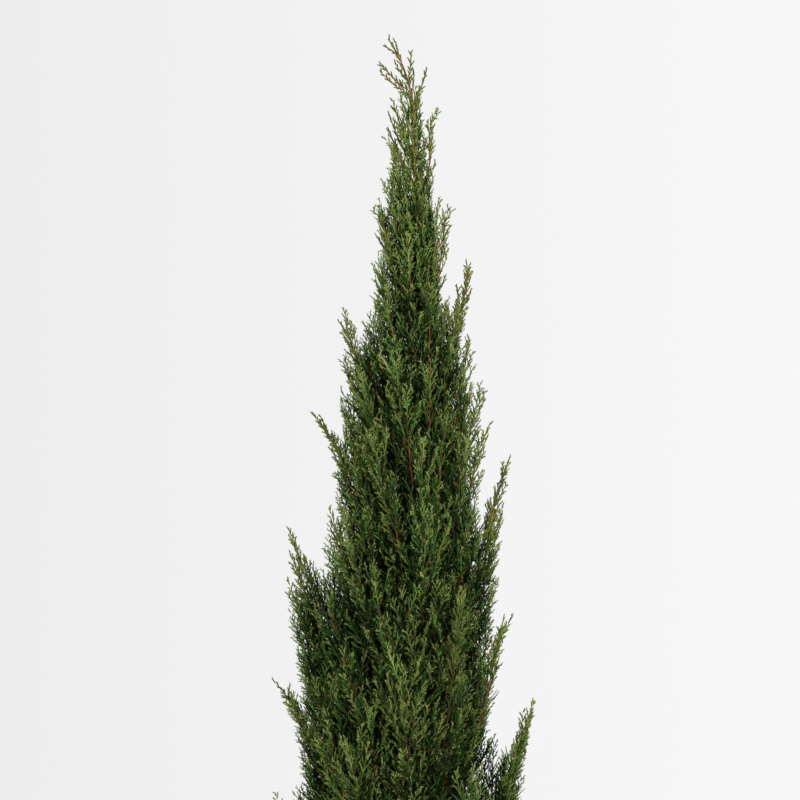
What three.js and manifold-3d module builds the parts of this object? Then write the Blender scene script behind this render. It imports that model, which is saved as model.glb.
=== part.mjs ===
// A potted Italian cypress: a young columnar tree in a plain tapered clay pot.
// Millimetres, +Z up. The origin is the centre of the pot's underside. The viewer stands on the -Y side.
import * as THREE from "three";
import { mergeVertices } from "three/addons/utils/BufferGeometryUtils.js";
import Module from "manifold-3d";

const wasm = await Module();
wasm.setup();

// Clearance between two pieces that rest on each other
const SEAT_GAP = 0.3;

// Pot and soil
const POT_HEIGHT = 240;
const POT_BASE_RADIUS = 92;
const POT_SHOULDER_RADIUS = 119;
const POT_RIM_RADIUS = 130;
const POT_RIM_BAND = 46;
const POT_WALL = 11;
const POT_FLOOR = 13;
const POT_EDGE = 5;
const POT_RIM_DRAFT = 3;
const POT_SIDES = 32;
const DRAIN_COUNT = 3;
const DRAIN_RADIUS = 7;
const DRAIN_CIRCLE = 52;
const DRAIN_SIDES = 12;
const SOIL_BELOW_RIM = 28;
const SOIL_DISH = 6;
const SOIL_LEVEL_RADIUS = 34;

// Trunk: heights are above the soil, and its line is given as right, back and height
const TREE_HEIGHT = 1138;
const TRUNK_LINE = [
  [0, 0, 0],
  [0, 0, 60],
  [12, -5, 260],
  [17, -3, 433],
  [15, 4, 660],
  [12, 2, 875],
  [4, -2, 1028],
  [2.5, -1, 1064],
];
const TRUNK_BASE_RADIUS = 6.8;
const TRUNK_TIP_RADIUS = 1.1;
const ROOT_FLARE = 6.5;
const ROOT_FLARE_HEIGHT = 18;
const TRUNK_SIDES = 10;
const TRUNK_RINGS = 22;

// Crown outline: half its width at a distance below the tip
const CROWN_LENGTH = 1080;
const CROWN_RADIUS = 122;
const CROWN_WIDEST_AT = 0.8;
const CROWN_FULLNESS = 1.136;
const CROWN_FOOT_NARROWING = 0.42;
const CROWN_STAND_OUT = 24;
const TIP_STAND_OUT = 7;

// Tips of the sprays round the leader, and of the plumes against the sky: right, back, below the top
const LEADER_TIPS = [
  [-23, 0, 0],
  [28, -9, 71],
  [-26, 8, 100],
  [8, 28, 128],
  [40, 8, 168],
  [-37, -6, 172],
  [-4, -38, 196],
];
const SKYLINE_TIPS = [
  [57, 12, 225],
  [-65, -12, 273],
  [-102, 8, 373],
  [82, 30, 385],
  [100, -22, 418],
  [-122, -10, 488],
  [105, 16, 578],
  [-139, 12, 643],
  [125, -12, 660],
  [-134, -14, 753],
];

// Plumes that face the viewer and the back in turn, and the skirt of plumes low in the crown
const GOLDEN_TURN = THREE.MathUtils.degToRad(137.508);
const FACING_COUNT = 14;
const FACING_TOP = 250;
const FACING_STEP = 37;
const FACING_SWING = THREE.MathUtils.degToRad(32);
const FACING_FIRST_TURN = 1;
const SKIRT_COUNT = 6;
const SKIRT_TOP = 785;
const SKIRT_STEP = 22;
const SKIRT_FIRST_TURN = THREE.MathUtils.degToRad(-48);

// How a plume leaves the trunk: its length grows down the crown, and its foot stays off the soil
const PLUME_SHORTEST = 95;
const PLUME_GROWTH = 0.3;
const PLUME_LONGEST = 265;
const PLUME_FOOT_SHARE = 0.28;
const PLUME_ELBOW_OUT = 0.58;
const PLUME_ELBOW_UP = 0.36;
const BOUGH_SHARE = 0.2;
const BOUGH_RADIUS_TOP = 1.2;
const BOUGH_RADIUS_GROWTH = 0.0026;
const BOUGH_SIDES = 4;
const BOUGH_RINGS = 3;
const STEM_TIP_RADIUS = 0.4;
const STEM_SIDES = 5;
const STEM_RINGS = 6;
const TWIG_SIDES = 3;

// The dense core of a plume, which its twigs stand out of: it swells along the stem
const CORE_FROM = 0.26;
const CORE_TO = 0.72;
const CORE_SHARE = 0.075;
const CORE_FULLNESS = 0.7;

// A plume's foliage: short twigs spread from its stem, and each goes on as a toothed spray
const SPRAY_TOP = 78;
const SPRAY_GROWTH = 0.12;
const SPRAY_LONGEST = 145;
const SPRAY_UPWARD_SHRINK = 0.4;
const SPRAY_RETRY_SHRINK = 0.93;
const SPRAY_WIDTH_SHARE = 0.6;
const SPRAY_THICKNESS_SHARE = 0.02;
const SPRAY_TWIST = 0.7;
const SPRAYS_APART = 0.26;
const SPRAY_SUNK = 0.1;
const SHOOTS_RIGHT = 2;
const SHOOTS_LEFT = 2;
const SHOOT_STEP = 0.29;
const SHOOT_FIRST_RIGHT = 0.08;
const SHOOT_FIRST_LEFT = 0.22;
const SHOOT_REACH_FIRST = 0.28;
const SHOOT_REACH_STEP = 0.62;
const RIB_FOOT = 0.12;
const SHOOT_RISE = 0.3;
const SHOOT_NOTCH = 0.19;
const RIB_SHARE = 0.5;
const RIB_STATIONS = [0.25, 0.55, 0.85];
const SPRAYS_ON_BOUGH = 5;
const SPRAYS_ON_TRUNK = 4;
const SPRAYS_PER_LEADER = 2;
const TWIG_FIRST = 0.08;
const TWIG_LAST = 0.53;
const TWIG_SHARE = 0.22;
const TWIG_LEAN_LEAST = THREE.MathUtils.degToRad(17);
const TWIG_LEAN_MOST = THREE.MathUtils.degToRad(31);
const TWIG_ROOT_RADIUS = 0.9;
const TWIG_TIP_RADIUS = 0.4;
const RETRY_TURN = THREE.MathUtils.degToRad(47);
const TOP_SPRAY_SHARE = 0.42;
const TOP_SPRAY_WIDTH = 0.42;
const TOP_SPRAY_NARROWEST = 0.15;
const TOP_SPRAY_TWIST = THREE.MathUtils.degToRad(50);
const PLACING_TRIES = 9;
const SPACE_MARGIN = 1.2;
const LIMB_MARGIN = 1.2;
const LOWEST_LEAF = 52;
const AXIS_STEPS = 14;
const HALVINGS = 30;
const PLANT_SEED = 41;

const MATERIALS = {
  clay: new THREE.MeshStandardMaterial({ color: 0xb5714f, roughness: 0.85, metalness: 0 }),
  soil: new THREE.MeshStandardMaterial({ color: 0x33241a, roughness: 0.95, metalness: 0 }),
  bark: new THREE.MeshStandardMaterial({ color: 0x6f4a31, roughness: 0.85, metalness: 0 }),
  foliage: new THREE.MeshStandardMaterial({ color: 0x3b5423, roughness: 0.7, metalness: 0 }),
};

// Solids from geometries and back
function solidOf(geometry) {
  const bare = geometry.clone();
  bare.deleteAttribute("normal");
  bare.deleteAttribute("uv");
  const merged = mergeVertices(bare);
  const corners = merged.index.array;
  const kept = [];
  for (let i = 0; i < corners.length; i += 3) {
    const [a, b, c] = corners.slice(i, i + 3);
    if (a !== b && b !== c && c !== a) kept.push(a, b, c);
  }
  return new wasm.Manifold(
    new wasm.Mesh({
      numProp: 3,
      vertProperties: merged.attributes.position.array,
      triVerts: new Uint32Array(kept),
    }),
  );
}

function geometryOf(solid) {
  const mesh = solid.getMesh();
  const geometry = new THREE.BufferGeometry();
  geometry.setAttribute("position", new THREE.BufferAttribute(mesh.vertProperties, 3));
  geometry.setIndex(new THREE.BufferAttribute(mesh.triVerts, 1));
  geometry.computeVertexNormals();
  return geometry;
}

// Joins the pieces of one mass and drops any scrap that hangs loose
function fused(pieces) {
  const joined = pieces.map(solidOf).reduce((whole, piece) => whole.add(piece));
  const bodies = joined.decompose();
  return bodies.reduce((largest, body) => (body.volume() > largest.volume() ? body : largest));
}

// A number from 0 to 1 at each call, the same series for the same seed
function seeded(seed) {
  let state = seed >>> 0;
  return () => {
    state = (state + 0x6d2b79f5) >>> 0;
    let mixed = Math.imul(state ^ (state >>> 15), state | 1);
    mixed ^= mixed + Math.imul(mixed ^ (mixed >>> 7), mixed | 61);
    return ((mixed ^ (mixed >>> 14)) >>> 0) / 2 ** 32;
  };
}

// A closed round limb along a curve, from share a of it to share b, with a radius at each share
function limb(curve, a, b, radiusAt, sides, rings) {
  const geometry = new THREE.CylinderGeometry(1, 1, 1, sides, rings);
  const position = geometry.attributes.position;
  const across = new THREE.Vector3(0, 1, 0);
  for (let i = 0; i < position.count; i++) {
    const share = THREE.MathUtils.lerp(a, b, position.getY(i) + 0.5);
    const along = curve.getTangentAt(share);
    const side = new THREE.Vector3().crossVectors(along, across).normalize();
    const face = new THREE.Vector3().crossVectors(side, along);
    const radius = radiusAt(share);
    const point = curve.getPointAt(share);
    point.addScaledVector(side, position.getX(i) * radius);
    point.addScaledVector(face, position.getZ(i) * radius);
    position.setXYZ(i, point.x, point.y, point.z);
  }
  return geometry;
}

// Pot: one turned wall with a banded rim, and drain holes through its floor
function potProfile() {
  const bandFoot = POT_HEIGHT - POT_RIM_BAND;
  const wall = new THREE.Path();
  wall.moveTo(0, 0);
  wall.lineTo(POT_BASE_RADIUS - POT_EDGE, 0);
  const bandRadius = POT_RIM_RADIUS - POT_RIM_DRAFT;
  wall.quadraticCurveTo(POT_BASE_RADIUS, 0, POT_BASE_RADIUS, POT_EDGE);
  wall.lineTo(POT_SHOULDER_RADIUS, bandFoot);
  wall.quadraticCurveTo(bandRadius, bandFoot, bandRadius, bandFoot + POT_EDGE);
  wall.lineTo(POT_RIM_RADIUS, POT_HEIGHT - POT_EDGE);
  wall.quadraticCurveTo(POT_RIM_RADIUS, POT_HEIGHT, POT_RIM_RADIUS - POT_EDGE, POT_HEIGHT);
  wall.lineTo(POT_RIM_RADIUS - POT_WALL, POT_HEIGHT);
  wall.quadraticCurveTo(
    POT_RIM_RADIUS - POT_WALL - POT_EDGE,
    POT_HEIGHT,
    POT_RIM_RADIUS - POT_WALL - POT_EDGE,
    POT_HEIGHT - POT_EDGE,
  );
  wall.lineTo(innerRadius(POT_HEIGHT - POT_RIM_BAND), POT_HEIGHT - POT_RIM_BAND);
  wall.lineTo(innerRadius(POT_FLOOR), POT_FLOOR);
  wall.lineTo(0, POT_FLOOR);
  return wall.getPoints(2);
}

// Radius of the pot's inner wall at a height
function innerRadius(height) {
  const share = height / (POT_HEIGHT - POT_RIM_BAND);
  return THREE.MathUtils.lerp(POT_BASE_RADIUS, POT_SHOULDER_RADIUS, share) - POT_WALL;
}

function potGeometry() {
  const turned = new THREE.LatheGeometry(potProfile(), POT_SIDES).rotateX(Math.PI / 2);
  let pot = solidOf(turned);
  for (let k = 0; k < DRAIN_COUNT; k++) {
    const angle = (k / DRAIN_COUNT) * 2 * Math.PI + Math.PI / 2;
    const drain = new THREE.CylinderGeometry(DRAIN_RADIUS, DRAIN_RADIUS, POT_FLOOR * 3, DRAIN_SIDES);
    drain.rotateX(Math.PI / 2);
    drain.translate(DRAIN_CIRCLE * Math.cos(angle), DRAIN_CIRCLE * Math.sin(angle), 0);
    pot = pot.subtract(solidOf(drain));
  }
  return geometryOf(pot);
}

// Soil: fills the pot to below the rim, level round the trunk and dished towards the wall
const SOIL_TOP = POT_HEIGHT - SOIL_BELOW_RIM;

function soilGeometry() {
  const foot = POT_FLOOR + SEAT_GAP;
  const bend = POT_HEIGHT - POT_RIM_BAND;
  const edge = innerRadius(bend) - SEAT_GAP;
  const profile = [
    [0, foot],
    [innerRadius(foot) - SEAT_GAP, foot],
    [edge, bend],
    [edge, SOIL_TOP - SOIL_DISH],
    [SOIL_LEVEL_RADIUS, SOIL_TOP],
    [0, SOIL_TOP],
  ].map(([radius, height]) => new THREE.Vector2(radius, height));
  return new THREE.LatheGeometry(profile, POT_SIDES).rotateX(Math.PI / 2);
}

// Trunk: one limb from a flat cut on the soil to the foot of the leader's top spray
const trunkLine = new THREE.CatmullRomCurve3(TRUNK_LINE.map((point) => new THREE.Vector3(...point)));
const TRUNK_LENGTH = trunkLine.getLength();

function trunkRadius(share) {
  const taper = THREE.MathUtils.lerp(TRUNK_BASE_RADIUS, TRUNK_TIP_RADIUS, share);
  return taper + ROOT_FLARE * Math.exp((-share * TRUNK_LENGTH) / ROOT_FLARE_HEIGHT);
}

function trunkGeometry(extra = 0) {
  return limb(trunkLine, 0, 1, (share) => trunkRadius(share) + extra, TRUNK_SIDES, TRUNK_RINGS);
}

// Where the trunk's line passes a height above the soil
function trunkAt(height) {
  let low = 0;
  let high = 1;
  for (let i = 0; i < HALVINGS; i++) {
    const middle = (low + high) / 2;
    if (trunkLine.getPointAt(middle).z < height) low = middle;
    else high = middle;
  }
  return trunkLine.getPointAt(low);
}

// Crown: half its width at a distance below the tip of the leader
function crownRadius(below) {
  const share = below / CROWN_LENGTH;
  const rise = Math.min(1, Math.max(0, share / CROWN_WIDEST_AT));
  const fall = Math.max(0, (share - CROWN_WIDEST_AT) / (1 - CROWN_WIDEST_AT));
  const opening = Math.sin((Math.PI / 2) * rise ** CROWN_FULLNESS);
  return CROWN_RADIUS * opening * (1 - CROWN_FOOT_NARROWING * fall ** 2);
}

// A tip on the crown's outline, at a turn about the trunk and a distance below the top
function outlineTip(turn, below) {
  const radius = crownRadius(below);
  return [radius * Math.cos(turn), radius * Math.sin(turn), below];
}

// The plumes from the top down: those of the skyline and the skirt stand on boughs, the others on the trunk
function plumeTips() {
  const facing = Array.from({ length: FACING_COUNT }, (_, k) => {
    const side = k % 2 ? Math.PI / 2 : -Math.PI / 2;
    const swing = FACING_SWING * Math.sin(k * GOLDEN_TURN + FACING_FIRST_TURN);
    return outlineTip(side + swing, FACING_TOP + k * FACING_STEP);
  });
  const skirt = Array.from({ length: SKIRT_COUNT }, (_, k) =>
    outlineTip(SKIRT_FIRST_TURN + k * GOLDEN_TURN, SKIRT_TOP + k * SKIRT_STEP),
  );
  const onBough = { bare: BOUGH_SHARE, sprays: SPRAYS_ON_BOUGH };
  const onTrunk = { bare: 0, sprays: SPRAYS_ON_TRUNK };
  const outer = [...SKYLINE_TIPS, ...skirt].map((tip) => ({ tip, ...onBough }));
  const inner = facing.map((tip) => ({ tip, ...onTrunk }));
  return [...outer, ...inner].sort((a, b) => a.tip[2] - b.tip[2]);
}

// One plume: its line from the trunk to its tip, its bare share, and how far its foliage spreads
function plumeTo(tip, name, bareShare, sprays) {
  const [right, back, below] = tip;
  const end = new THREE.Vector3(right, back, TREE_HEIGHT - below);
  const length = Math.min(PLUME_LONGEST, PLUME_SHORTEST + PLUME_GROWTH * below);
  const foot = trunkAt(Math.max(end.z - length, PLUME_FOOT_SHARE * end.z));
  const elbow = new THREE.Vector3().lerpVectors(foot, end, PLUME_ELBOW_OUT);
  elbow.z = THREE.MathUtils.lerp(foot.z, end.z, PLUME_ELBOW_UP);
  const line = new THREE.QuadraticBezierCurve3(foot, elbow, end);
  return {
    name,
    line,
    bareShare,
    sprays,
    reach: Math.hypot(right, back),
    stemRadius: BOUGH_RADIUS_TOP + BOUGH_RADIUS_GROWTH * below,
    sprayLength: Math.min(SPRAY_LONGEST, SPRAY_TOP + SPRAY_GROWTH * below),
    axis: line.getSpacedPoints(AXIS_STEPS),
  };
}

// The leader's top spray grows on from the trunk's tip
function topSpray(tip) {
  const [right, back, below] = tip;
  const foot = trunkLine.getPointAt(1);
  const along = trunkLine.getTangentAt(1);
  const end = new THREE.Vector3(right, back, TREE_HEIGHT - below);
  const elbow = foot.clone().addScaledVector(along, foot.distanceTo(end) / 2);
  foot.addScaledVector(along, SEAT_GAP);
  const line = new THREE.QuadraticBezierCurve3(foot, elbow, end);
  return {
    name: "leader_spray_1",
    line,
    bareShare: 0,
    sprays: SPRAYS_PER_LEADER,
    reach: Math.hypot(right, back),
    stemRadius: TRUNK_TIP_RADIUS,
    sprayLength: SPRAY_TOP,
    axis: line.getSpacedPoints(AXIS_STEPS),
  };
}

const twoDigits = (k) => String(k + 1).padStart(2, "0");
const leaderSprays = LEADER_TIPS.map((tip, k) =>
  k === 0 ? topSpray(tip) : plumeTo(tip, `leader_spray_${k + 1}`, 0, SPRAYS_PER_LEADER),
);
const plumes = plumeTips().map(({ tip, bare, sprays }, k) =>
  plumeTo(tip, `plume_${twoDigits(k)}`, bare, sprays),
);
const masses = [...leaderSprays, ...plumes];
const onBoughs = plumes.filter(({ bareShare }) => bareShare > 0);

// Radius of a plume's bough and stem at a share of its line
function stemRadius(plume, share) {
  return THREE.MathUtils.lerp(plume.stemRadius, STEM_TIP_RADIUS, share);
}

// Share of a plume's line that a clearance takes up
const gapShare = (plume) => SEAT_GAP / plume.line.getLength();

// Distance from a point to a run of points
const nearest = new THREE.Vector3();
const stretch = new THREE.Line3();
function distanceTo(point, axis) {
  let least = Infinity;
  for (let i = 1; i < axis.length; i++) {
    stretch.set(axis[i - 1], axis[i]);
    stretch.closestPointToPoint(point, true, nearest);
    least = Math.min(least, nearest.distanceTo(point));
  }
  return least;
}

// Every limb that foliage keeps clear of, as a run of points with its thickest radius on each stretch
function limbStretches() {
  const stretches = [];
  const steps = TRUNK_RINGS * 2;
  for (let i = 0; i < steps; i++) {
    const from = i / steps;
    const ends = [trunkLine.getPointAt(from), trunkLine.getPointAt((i + 1) / steps)];
    stretches.push({ ends, radius: trunkRadius(from), owner: null });
  }
  for (const plume of onBoughs) {
    const ends = [0, 0.5, 1].map((part) => plume.line.getPointAt(part * plume.bareShare));
    stretches.push({ ends, radius: plume.stemRadius, owner: plume });
  }
  return stretches;
}
const limbs = limbStretches();

// Whether all the points keep to the plume's own space and clear of every limb
function inSpace(points, plume) {
  return points.every((point) => {
    const own = distanceTo(point, plume.axis) + 2 * SPACE_MARGIN;
    const alone = masses.every((other) => other === plume || distanceTo(point, other.axis) > own);
    return alone && limbs.every(({ ends, radius }) => distanceTo(point, ends) > radius + LIMB_MARGIN);
  });
}

// Whether all the points keep inside the crown, or within the reach of the plume's own tip
function inCrown(points, plume) {
  return points.every((point) => {
    const below = TREE_HEIGHT - point.z;
    const centre = trunkAt(point.z);
    const out = Math.hypot(point.x - centre.x / 2, point.y - centre.y / 2);
    const limit = Math.max(crownRadius(below) + CROWN_STAND_OUT, plume.reach + TIP_STAND_OUT);
    return below > 0 && point.z > LOWEST_LEAF && out < limit;
  });
}

// A spray's outline, one unit long and wide: shoots alternate up a narrow rib and point to the tip
function sprayOutline() {
  const shoots = (count, first) =>
    Array.from({ length: count }, (_, k) => {
      const foot = first + k * SHOOT_STEP;
      const reach = Math.sin(Math.PI * (SHOOT_REACH_FIRST + SHOOT_REACH_STEP * foot));
      return [
        new THREE.Vector2(reach, foot + SHOOT_RISE),
        new THREE.Vector2(RIB_SHARE * (1 - foot), foot + SHOOT_NOTCH),
      ];
    }).flat();
  const left = shoots(SHOOTS_LEFT, SHOOT_FIRST_LEFT).map(({ x, y }) => new THREE.Vector2(-x, y));
  return [
    new THREE.Vector2(-RIB_FOOT, 0),
    new THREE.Vector2(RIB_FOOT, 0),
    ...shoots(SHOOTS_RIGHT, SHOOT_FIRST_RIGHT),
    new THREE.Vector2(0, 1),
    ...left.reverse(),
  ];
}
const SPRAY_OUTLINE = sprayOutline();

// A toothed blade from a root point along a direction, with its width across, and its outline's points
function sprayBlade(root, along, across, length, widthShare) {
  const half = (length * widthShare) / 2;
  const thickness = length * SPRAY_THICKNESS_SHARE;
  const outline = SPRAY_OUTLINE.map(({ x, y }) => new THREE.Vector2(x * half, y * length));
  const shape = new THREE.Shape(outline);
  const geometry = new THREE.ExtrudeGeometry(shape, { depth: thickness, bevelEnabled: false });
  geometry.translate(0, 0, -thickness / 2);
  const face = new THREE.Vector3().crossVectors(across, along);
  const place = new THREE.Matrix4().makeBasis(across, along, face).setPosition(root);
  const points = outline.slice(2).map(({ x, y }) => new THREE.Vector3(x, y, 0).applyMatrix4(place));
  return { geometry: geometry.applyMatrix4(place), points };
}

// A direction that leans from one unit vector towards another
function leaning(from, towards, angle) {
  return from.clone().multiplyScalar(Math.cos(angle)).addScaledVector(towards, Math.sin(angle)).normalize();
}

// A unit vector square to a direction, at a turn about it
function sideways(along, turn) {
  const right = new THREE.Vector3(0, 1, 0).cross(along).normalize();
  const ahead = along.clone().cross(right);
  return right.multiplyScalar(Math.cos(turn)).addScaledVector(ahead, Math.sin(turn));
}

// The width of a blade lies across its direction, turned so that its face looks out
function bladeAcross(along, out, twist) {
  const across = new THREE.Vector3().crossVectors(along, out).normalize();
  return across.applyAxisAngle(along, twist);
}

// One spray of a plume: a short three-sided twig from the stem, and the blade that goes on from it
function spray(plume, share, turn, length, random) {
  const root = plume.line.getPointAt(share);
  const stemAlong = plume.line.getTangentAt(share);
  const out = sideways(stemAlong, turn);
  const lean = THREE.MathUtils.lerp(TWIG_LEAN_LEAST, TWIG_LEAN_MOST, random());
  const along = leaning(stemAlong, out, lean);
  const tip = root.clone().addScaledVector(along, length * TWIG_SHARE);
  const taper = (part) => THREE.MathUtils.lerp(TWIG_ROOT_RADIUS, TWIG_TIP_RADIUS, part);
  const twig = limb(new THREE.LineCurve3(root, tip), 0, 1, taper, TWIG_SIDES, 1);
  const bladeRoot = tip.clone().addScaledVector(along, -length * SPRAY_SUNK);
  const across = bladeAcross(along, out, SPRAY_TWIST * (random() - 0.5));
  const bladeLength = length * (1 - TWIG_SHARE + SPRAY_SUNK);
  const { geometry, points } = sprayBlade(bladeRoot, along, across, bladeLength, SPRAY_WIDTH_SHARE);
  const rib = RIB_STATIONS.map((part) => bladeRoot.clone().addScaledVector(along, length * part));
  return { pieces: [twig, geometry], points: [tip, ...points], rib };
}

// Radius of a plume's core at a share of its line: nothing at its ends, and inside the plume's own space
function coreRadius(plume, share) {
  const part = (share - CORE_FROM) / (CORE_TO - CORE_FROM);
  if (part <= 0 || part >= 1) return 0;
  const point = plume.line.getPointAt(share);
  const others = masses.filter((other) => other !== plume);
  const spaces = others.map((other) => distanceTo(point, other.axis) / 2);
  const clear = limbs.filter(({ owner }) => owner !== plume);
  const reaches = clear.map(({ ends, radius }) => distanceTo(point, ends) - radius);
  const room = Math.min(...spaces, ...reaches) - 2 * SPACE_MARGIN;
  const swell = CORE_SHARE * plume.line.getLength() * Math.sin(Math.PI * part) ** CORE_FULLNESS;
  return Math.min(swell, room);
}

// The stem runs from its bough's tip, or from inside the trunk, into the plume's top spray
function stemGeometry(plume) {
  const from = plume.bareShare > 0 ? plume.bareShare + gapShare(plume) : 0;
  const to = 1 - TOP_SPRAY_SHARE + SPRAY_SUNK;
  const radiusAt = (share) => Math.max(stemRadius(plume, share / to), coreRadius(plume, share));
  return limb(plume.line, from, to, radiusAt, STEM_SIDES, STEM_RINGS);
}

// The top spray ends at the plume's tip, and turns and narrows until its shoots keep to the plume's space
function topSprayBlade(plume, firstTwist) {
  const root = plume.line.getPointAt(1 - TOP_SPRAY_SHARE);
  const end = plume.line.getPointAt(1);
  const along = end.clone().sub(root).normalize();
  const out = new THREE.Vector3(end.x, end.y, 0).normalize();
  let widthShare = TOP_SPRAY_WIDTH;
  for (let attempt = 0; attempt < PLACING_TRIES; attempt++) {
    const across = bladeAcross(along, out, firstTwist + attempt * RETRY_TURN);
    const { geometry, points } = sprayBlade(root, along, across, end.distanceTo(root), widthShare);
    const shoots = points.filter((point) => point.distanceTo(end) > SPACE_MARGIN);
    if (inSpace(shoots, plume)) return geometry;
    widthShare *= SPRAY_RETRY_SHRINK;
  }
  const across = bladeAcross(along, out, firstTwist);
  return sprayBlade(root, along, across, end.distanceTo(root), TOP_SPRAY_NARROWEST).geometry;
}

// All of one plume's foliage, joined into one solid
function massSolid(plume, index) {
  const random = seeded(PLANT_SEED + index);
  const topTwist = index % 2 ? TOP_SPRAY_TWIST : -TOP_SPRAY_TWIST;
  const pieces = [stemGeometry(plume), topSprayBlade(plume, topTwist)];
  const ribs = [];
  for (let k = 0; k < plume.sprays; k++) {
    const part = k / (plume.sprays - 1);
    const share = THREE.MathUtils.lerp(plume.bareShare + TWIG_FIRST, TWIG_LAST, part);
    let length = plume.sprayLength * (1 - SPRAY_UPWARD_SHRINK * share);
    for (let attempt = 0; attempt < PLACING_TRIES; attempt++) {
      const turn = index + k * GOLDEN_TURN + attempt * RETRY_TURN;
      const { pieces: made, points, rib } = spray(plume, share, turn, length, random);
      const gap = length * SPRAYS_APART;
      const apart = rib.every((here) => ribs.every((there) => here.distanceTo(there) > gap));
      if (apart && inCrown(points, plume) && inSpace(points, plume)) {
        pieces.push(...made);
        ribs.push(...rib);
        break;
      }
      length *= SPRAY_RETRY_SHRINK;
    }
  }
  return fused(pieces);
}

// The whole plant as a scene
function named(name, geometry, material) {
  const mesh = new THREE.Mesh(geometry, material);
  mesh.name = name;
  return mesh;
}

const plant = new THREE.Group();
plant.add(named("pot", potGeometry(), MATERIALS.clay));
plant.add(named("soil", soilGeometry(), MATERIALS.soil));

const tree = new THREE.Group();
tree.position.z = SOIL_TOP + SEAT_GAP;
plant.add(tree);
tree.add(named("trunk", trunkGeometry(), MATERIALS.bark));

const trunkRoom = solidOf(trunkGeometry(SEAT_GAP));
onBoughs.forEach((plume) => {
  const radiusAt = (share) => stemRadius(plume, share);
  const bough = limb(plume.line, 0, plume.bareShare, radiusAt, BOUGH_SIDES, BOUGH_RINGS);
  const seated = solidOf(bough).subtract(trunkRoom);
  tree.add(named(plume.name.replace("plume", "bough"), geometryOf(seated), MATERIALS.bark));
});
masses.forEach((plume, k) => {
  const seated = massSolid(plume, k).subtract(trunkRoom);
  tree.add(named(plume.name, geometryOf(seated), MATERIALS.foliage));
});

export default plant;
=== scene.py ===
"""Looks of the potted Italian cypress: its bark, shoots, scale-leaved sprigs, clay pot and soil.

The tree grows here by the same rule as its solids: trunk, boughs and plume lines have the same named
values, and each plume then carries on to shoots, branchlets and sprigs. Sizes are in millimetres and
become metres when a mesh is made. A share runs from 0 at a line's foot to 1 at its tip. The viewer
stands on the -Y side.
"""

import math

import bpy
import numpy as np
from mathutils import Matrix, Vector

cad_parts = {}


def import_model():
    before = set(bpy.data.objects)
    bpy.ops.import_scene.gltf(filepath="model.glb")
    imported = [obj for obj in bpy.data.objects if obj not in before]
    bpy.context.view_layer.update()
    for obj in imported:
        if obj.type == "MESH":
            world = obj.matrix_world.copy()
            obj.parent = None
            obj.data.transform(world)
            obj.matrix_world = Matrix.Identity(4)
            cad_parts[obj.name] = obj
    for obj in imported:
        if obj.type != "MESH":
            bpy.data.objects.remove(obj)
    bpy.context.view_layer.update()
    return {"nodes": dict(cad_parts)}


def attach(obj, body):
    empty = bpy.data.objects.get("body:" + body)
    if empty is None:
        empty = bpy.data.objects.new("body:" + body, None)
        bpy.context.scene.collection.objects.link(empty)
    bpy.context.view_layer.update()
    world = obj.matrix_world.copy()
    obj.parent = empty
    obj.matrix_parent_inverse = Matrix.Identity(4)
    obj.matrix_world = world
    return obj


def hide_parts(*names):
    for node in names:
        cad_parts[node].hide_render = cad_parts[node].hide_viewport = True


MM = 0.001
BODY = "root"
SEED = 41
UP = np.array([0.0, 0.0, 1.0])
FULL_TURN = 2 * math.pi
GOLDEN_TURN = math.radians(137.508)
GOLDEN_SHARE = 0.618
SEAT_GAP = 0.3

# Pot, as in the solids, how finely it is turned, and how far its uneven skin is drawn in to keep its size
POT_HEIGHT = 240
POT_BASE_RADIUS = 92
POT_SHOULDER_RADIUS = 119
POT_RIM_RADIUS = 130
POT_RIM_BAND = 46
POT_RIM_DRAFT = 3
POT_WALL = 11
POT_FLOOR = 13
POT_EDGE = 5
POT_SHOULDER = POT_HEIGHT - POT_RIM_BAND
POT_FLOOR_RINGS = (30, 60)
POT_WALL_STEPS = 34
POT_BAND_STEPS = 10
POT_RIM_STEPS = 8
POT_INSIDE_STEPS = 12
POT_CORNER_POINTS = 6
POT_SIDES = 112
POT_DRAWN_IN = 0.35
DRAIN_COUNT = 3
DRAIN_RADIUS = 7
DRAIN_CIRCLE = 52
DRAIN_SIDES = 28

# Soil, as in the solids, with lumps that fade in from a radius over a span
SOIL_BELOW_RIM = 28
SOIL_DISH = 6
SOIL_LEVEL_RADIUS = 34
SOIL_TOP = POT_HEIGHT - SOIL_BELOW_RIM
SOIL_SIDE_BELOW = 2
SOIL_RINGS = 56
SOIL_SIDES = 144
LUMPS_FROM = 10
LUMPS_SPAN = 20

# What lies on the soil: name, count, lengths, and height as a share of width
SOIL_BITS = [
    ("crumbs", 3000, (1.6, 5.2), (0.6, 1.0)),
    ("chips", 420, (4.0, 11.0), (0.3, 0.7)),
    ("grains", 120, (1.4, 2.8), (0.7, 1.0)),
]
BITS_FROM = 16
BITS_INSET = 4
BIT_WIDTH = (0.22, 0.65)
BIT_RAGGEDNESS = (0.35, 1.2)
BIT_SLANT = 0.18
BIT_LIFT = 0.22

# Trunk line (right, back, height above the soil) and thickness, as in the solids
TREE_FOOT = SOIL_TOP + SEAT_GAP
TREE_HEIGHT = 1138
TRUNK_LINE = [
    (0, 0, 0), (0, 0, 60), (12, -5, 260), (17, -3, 433),
    (15, 4, 660), (12, 2, 875), (4, -2, 1028), (2.5, -1, 1064),
]
TRUNK_POINTS = 300
TRUNK_BASE_RADIUS = 6.8
TRUNK_TIP_RADIUS = 1.1
ROOT_FLARE = 6.5
ROOT_FLARE_HEIGHT = 18

# Crown outline, as in the solids
CROWN_LENGTH = 1080
CROWN_RADIUS = 122
CROWN_WIDEST_AT = 0.8
CROWN_FULLNESS = 1.136
CROWN_FOOT_NARROWING = 0.42

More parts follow.
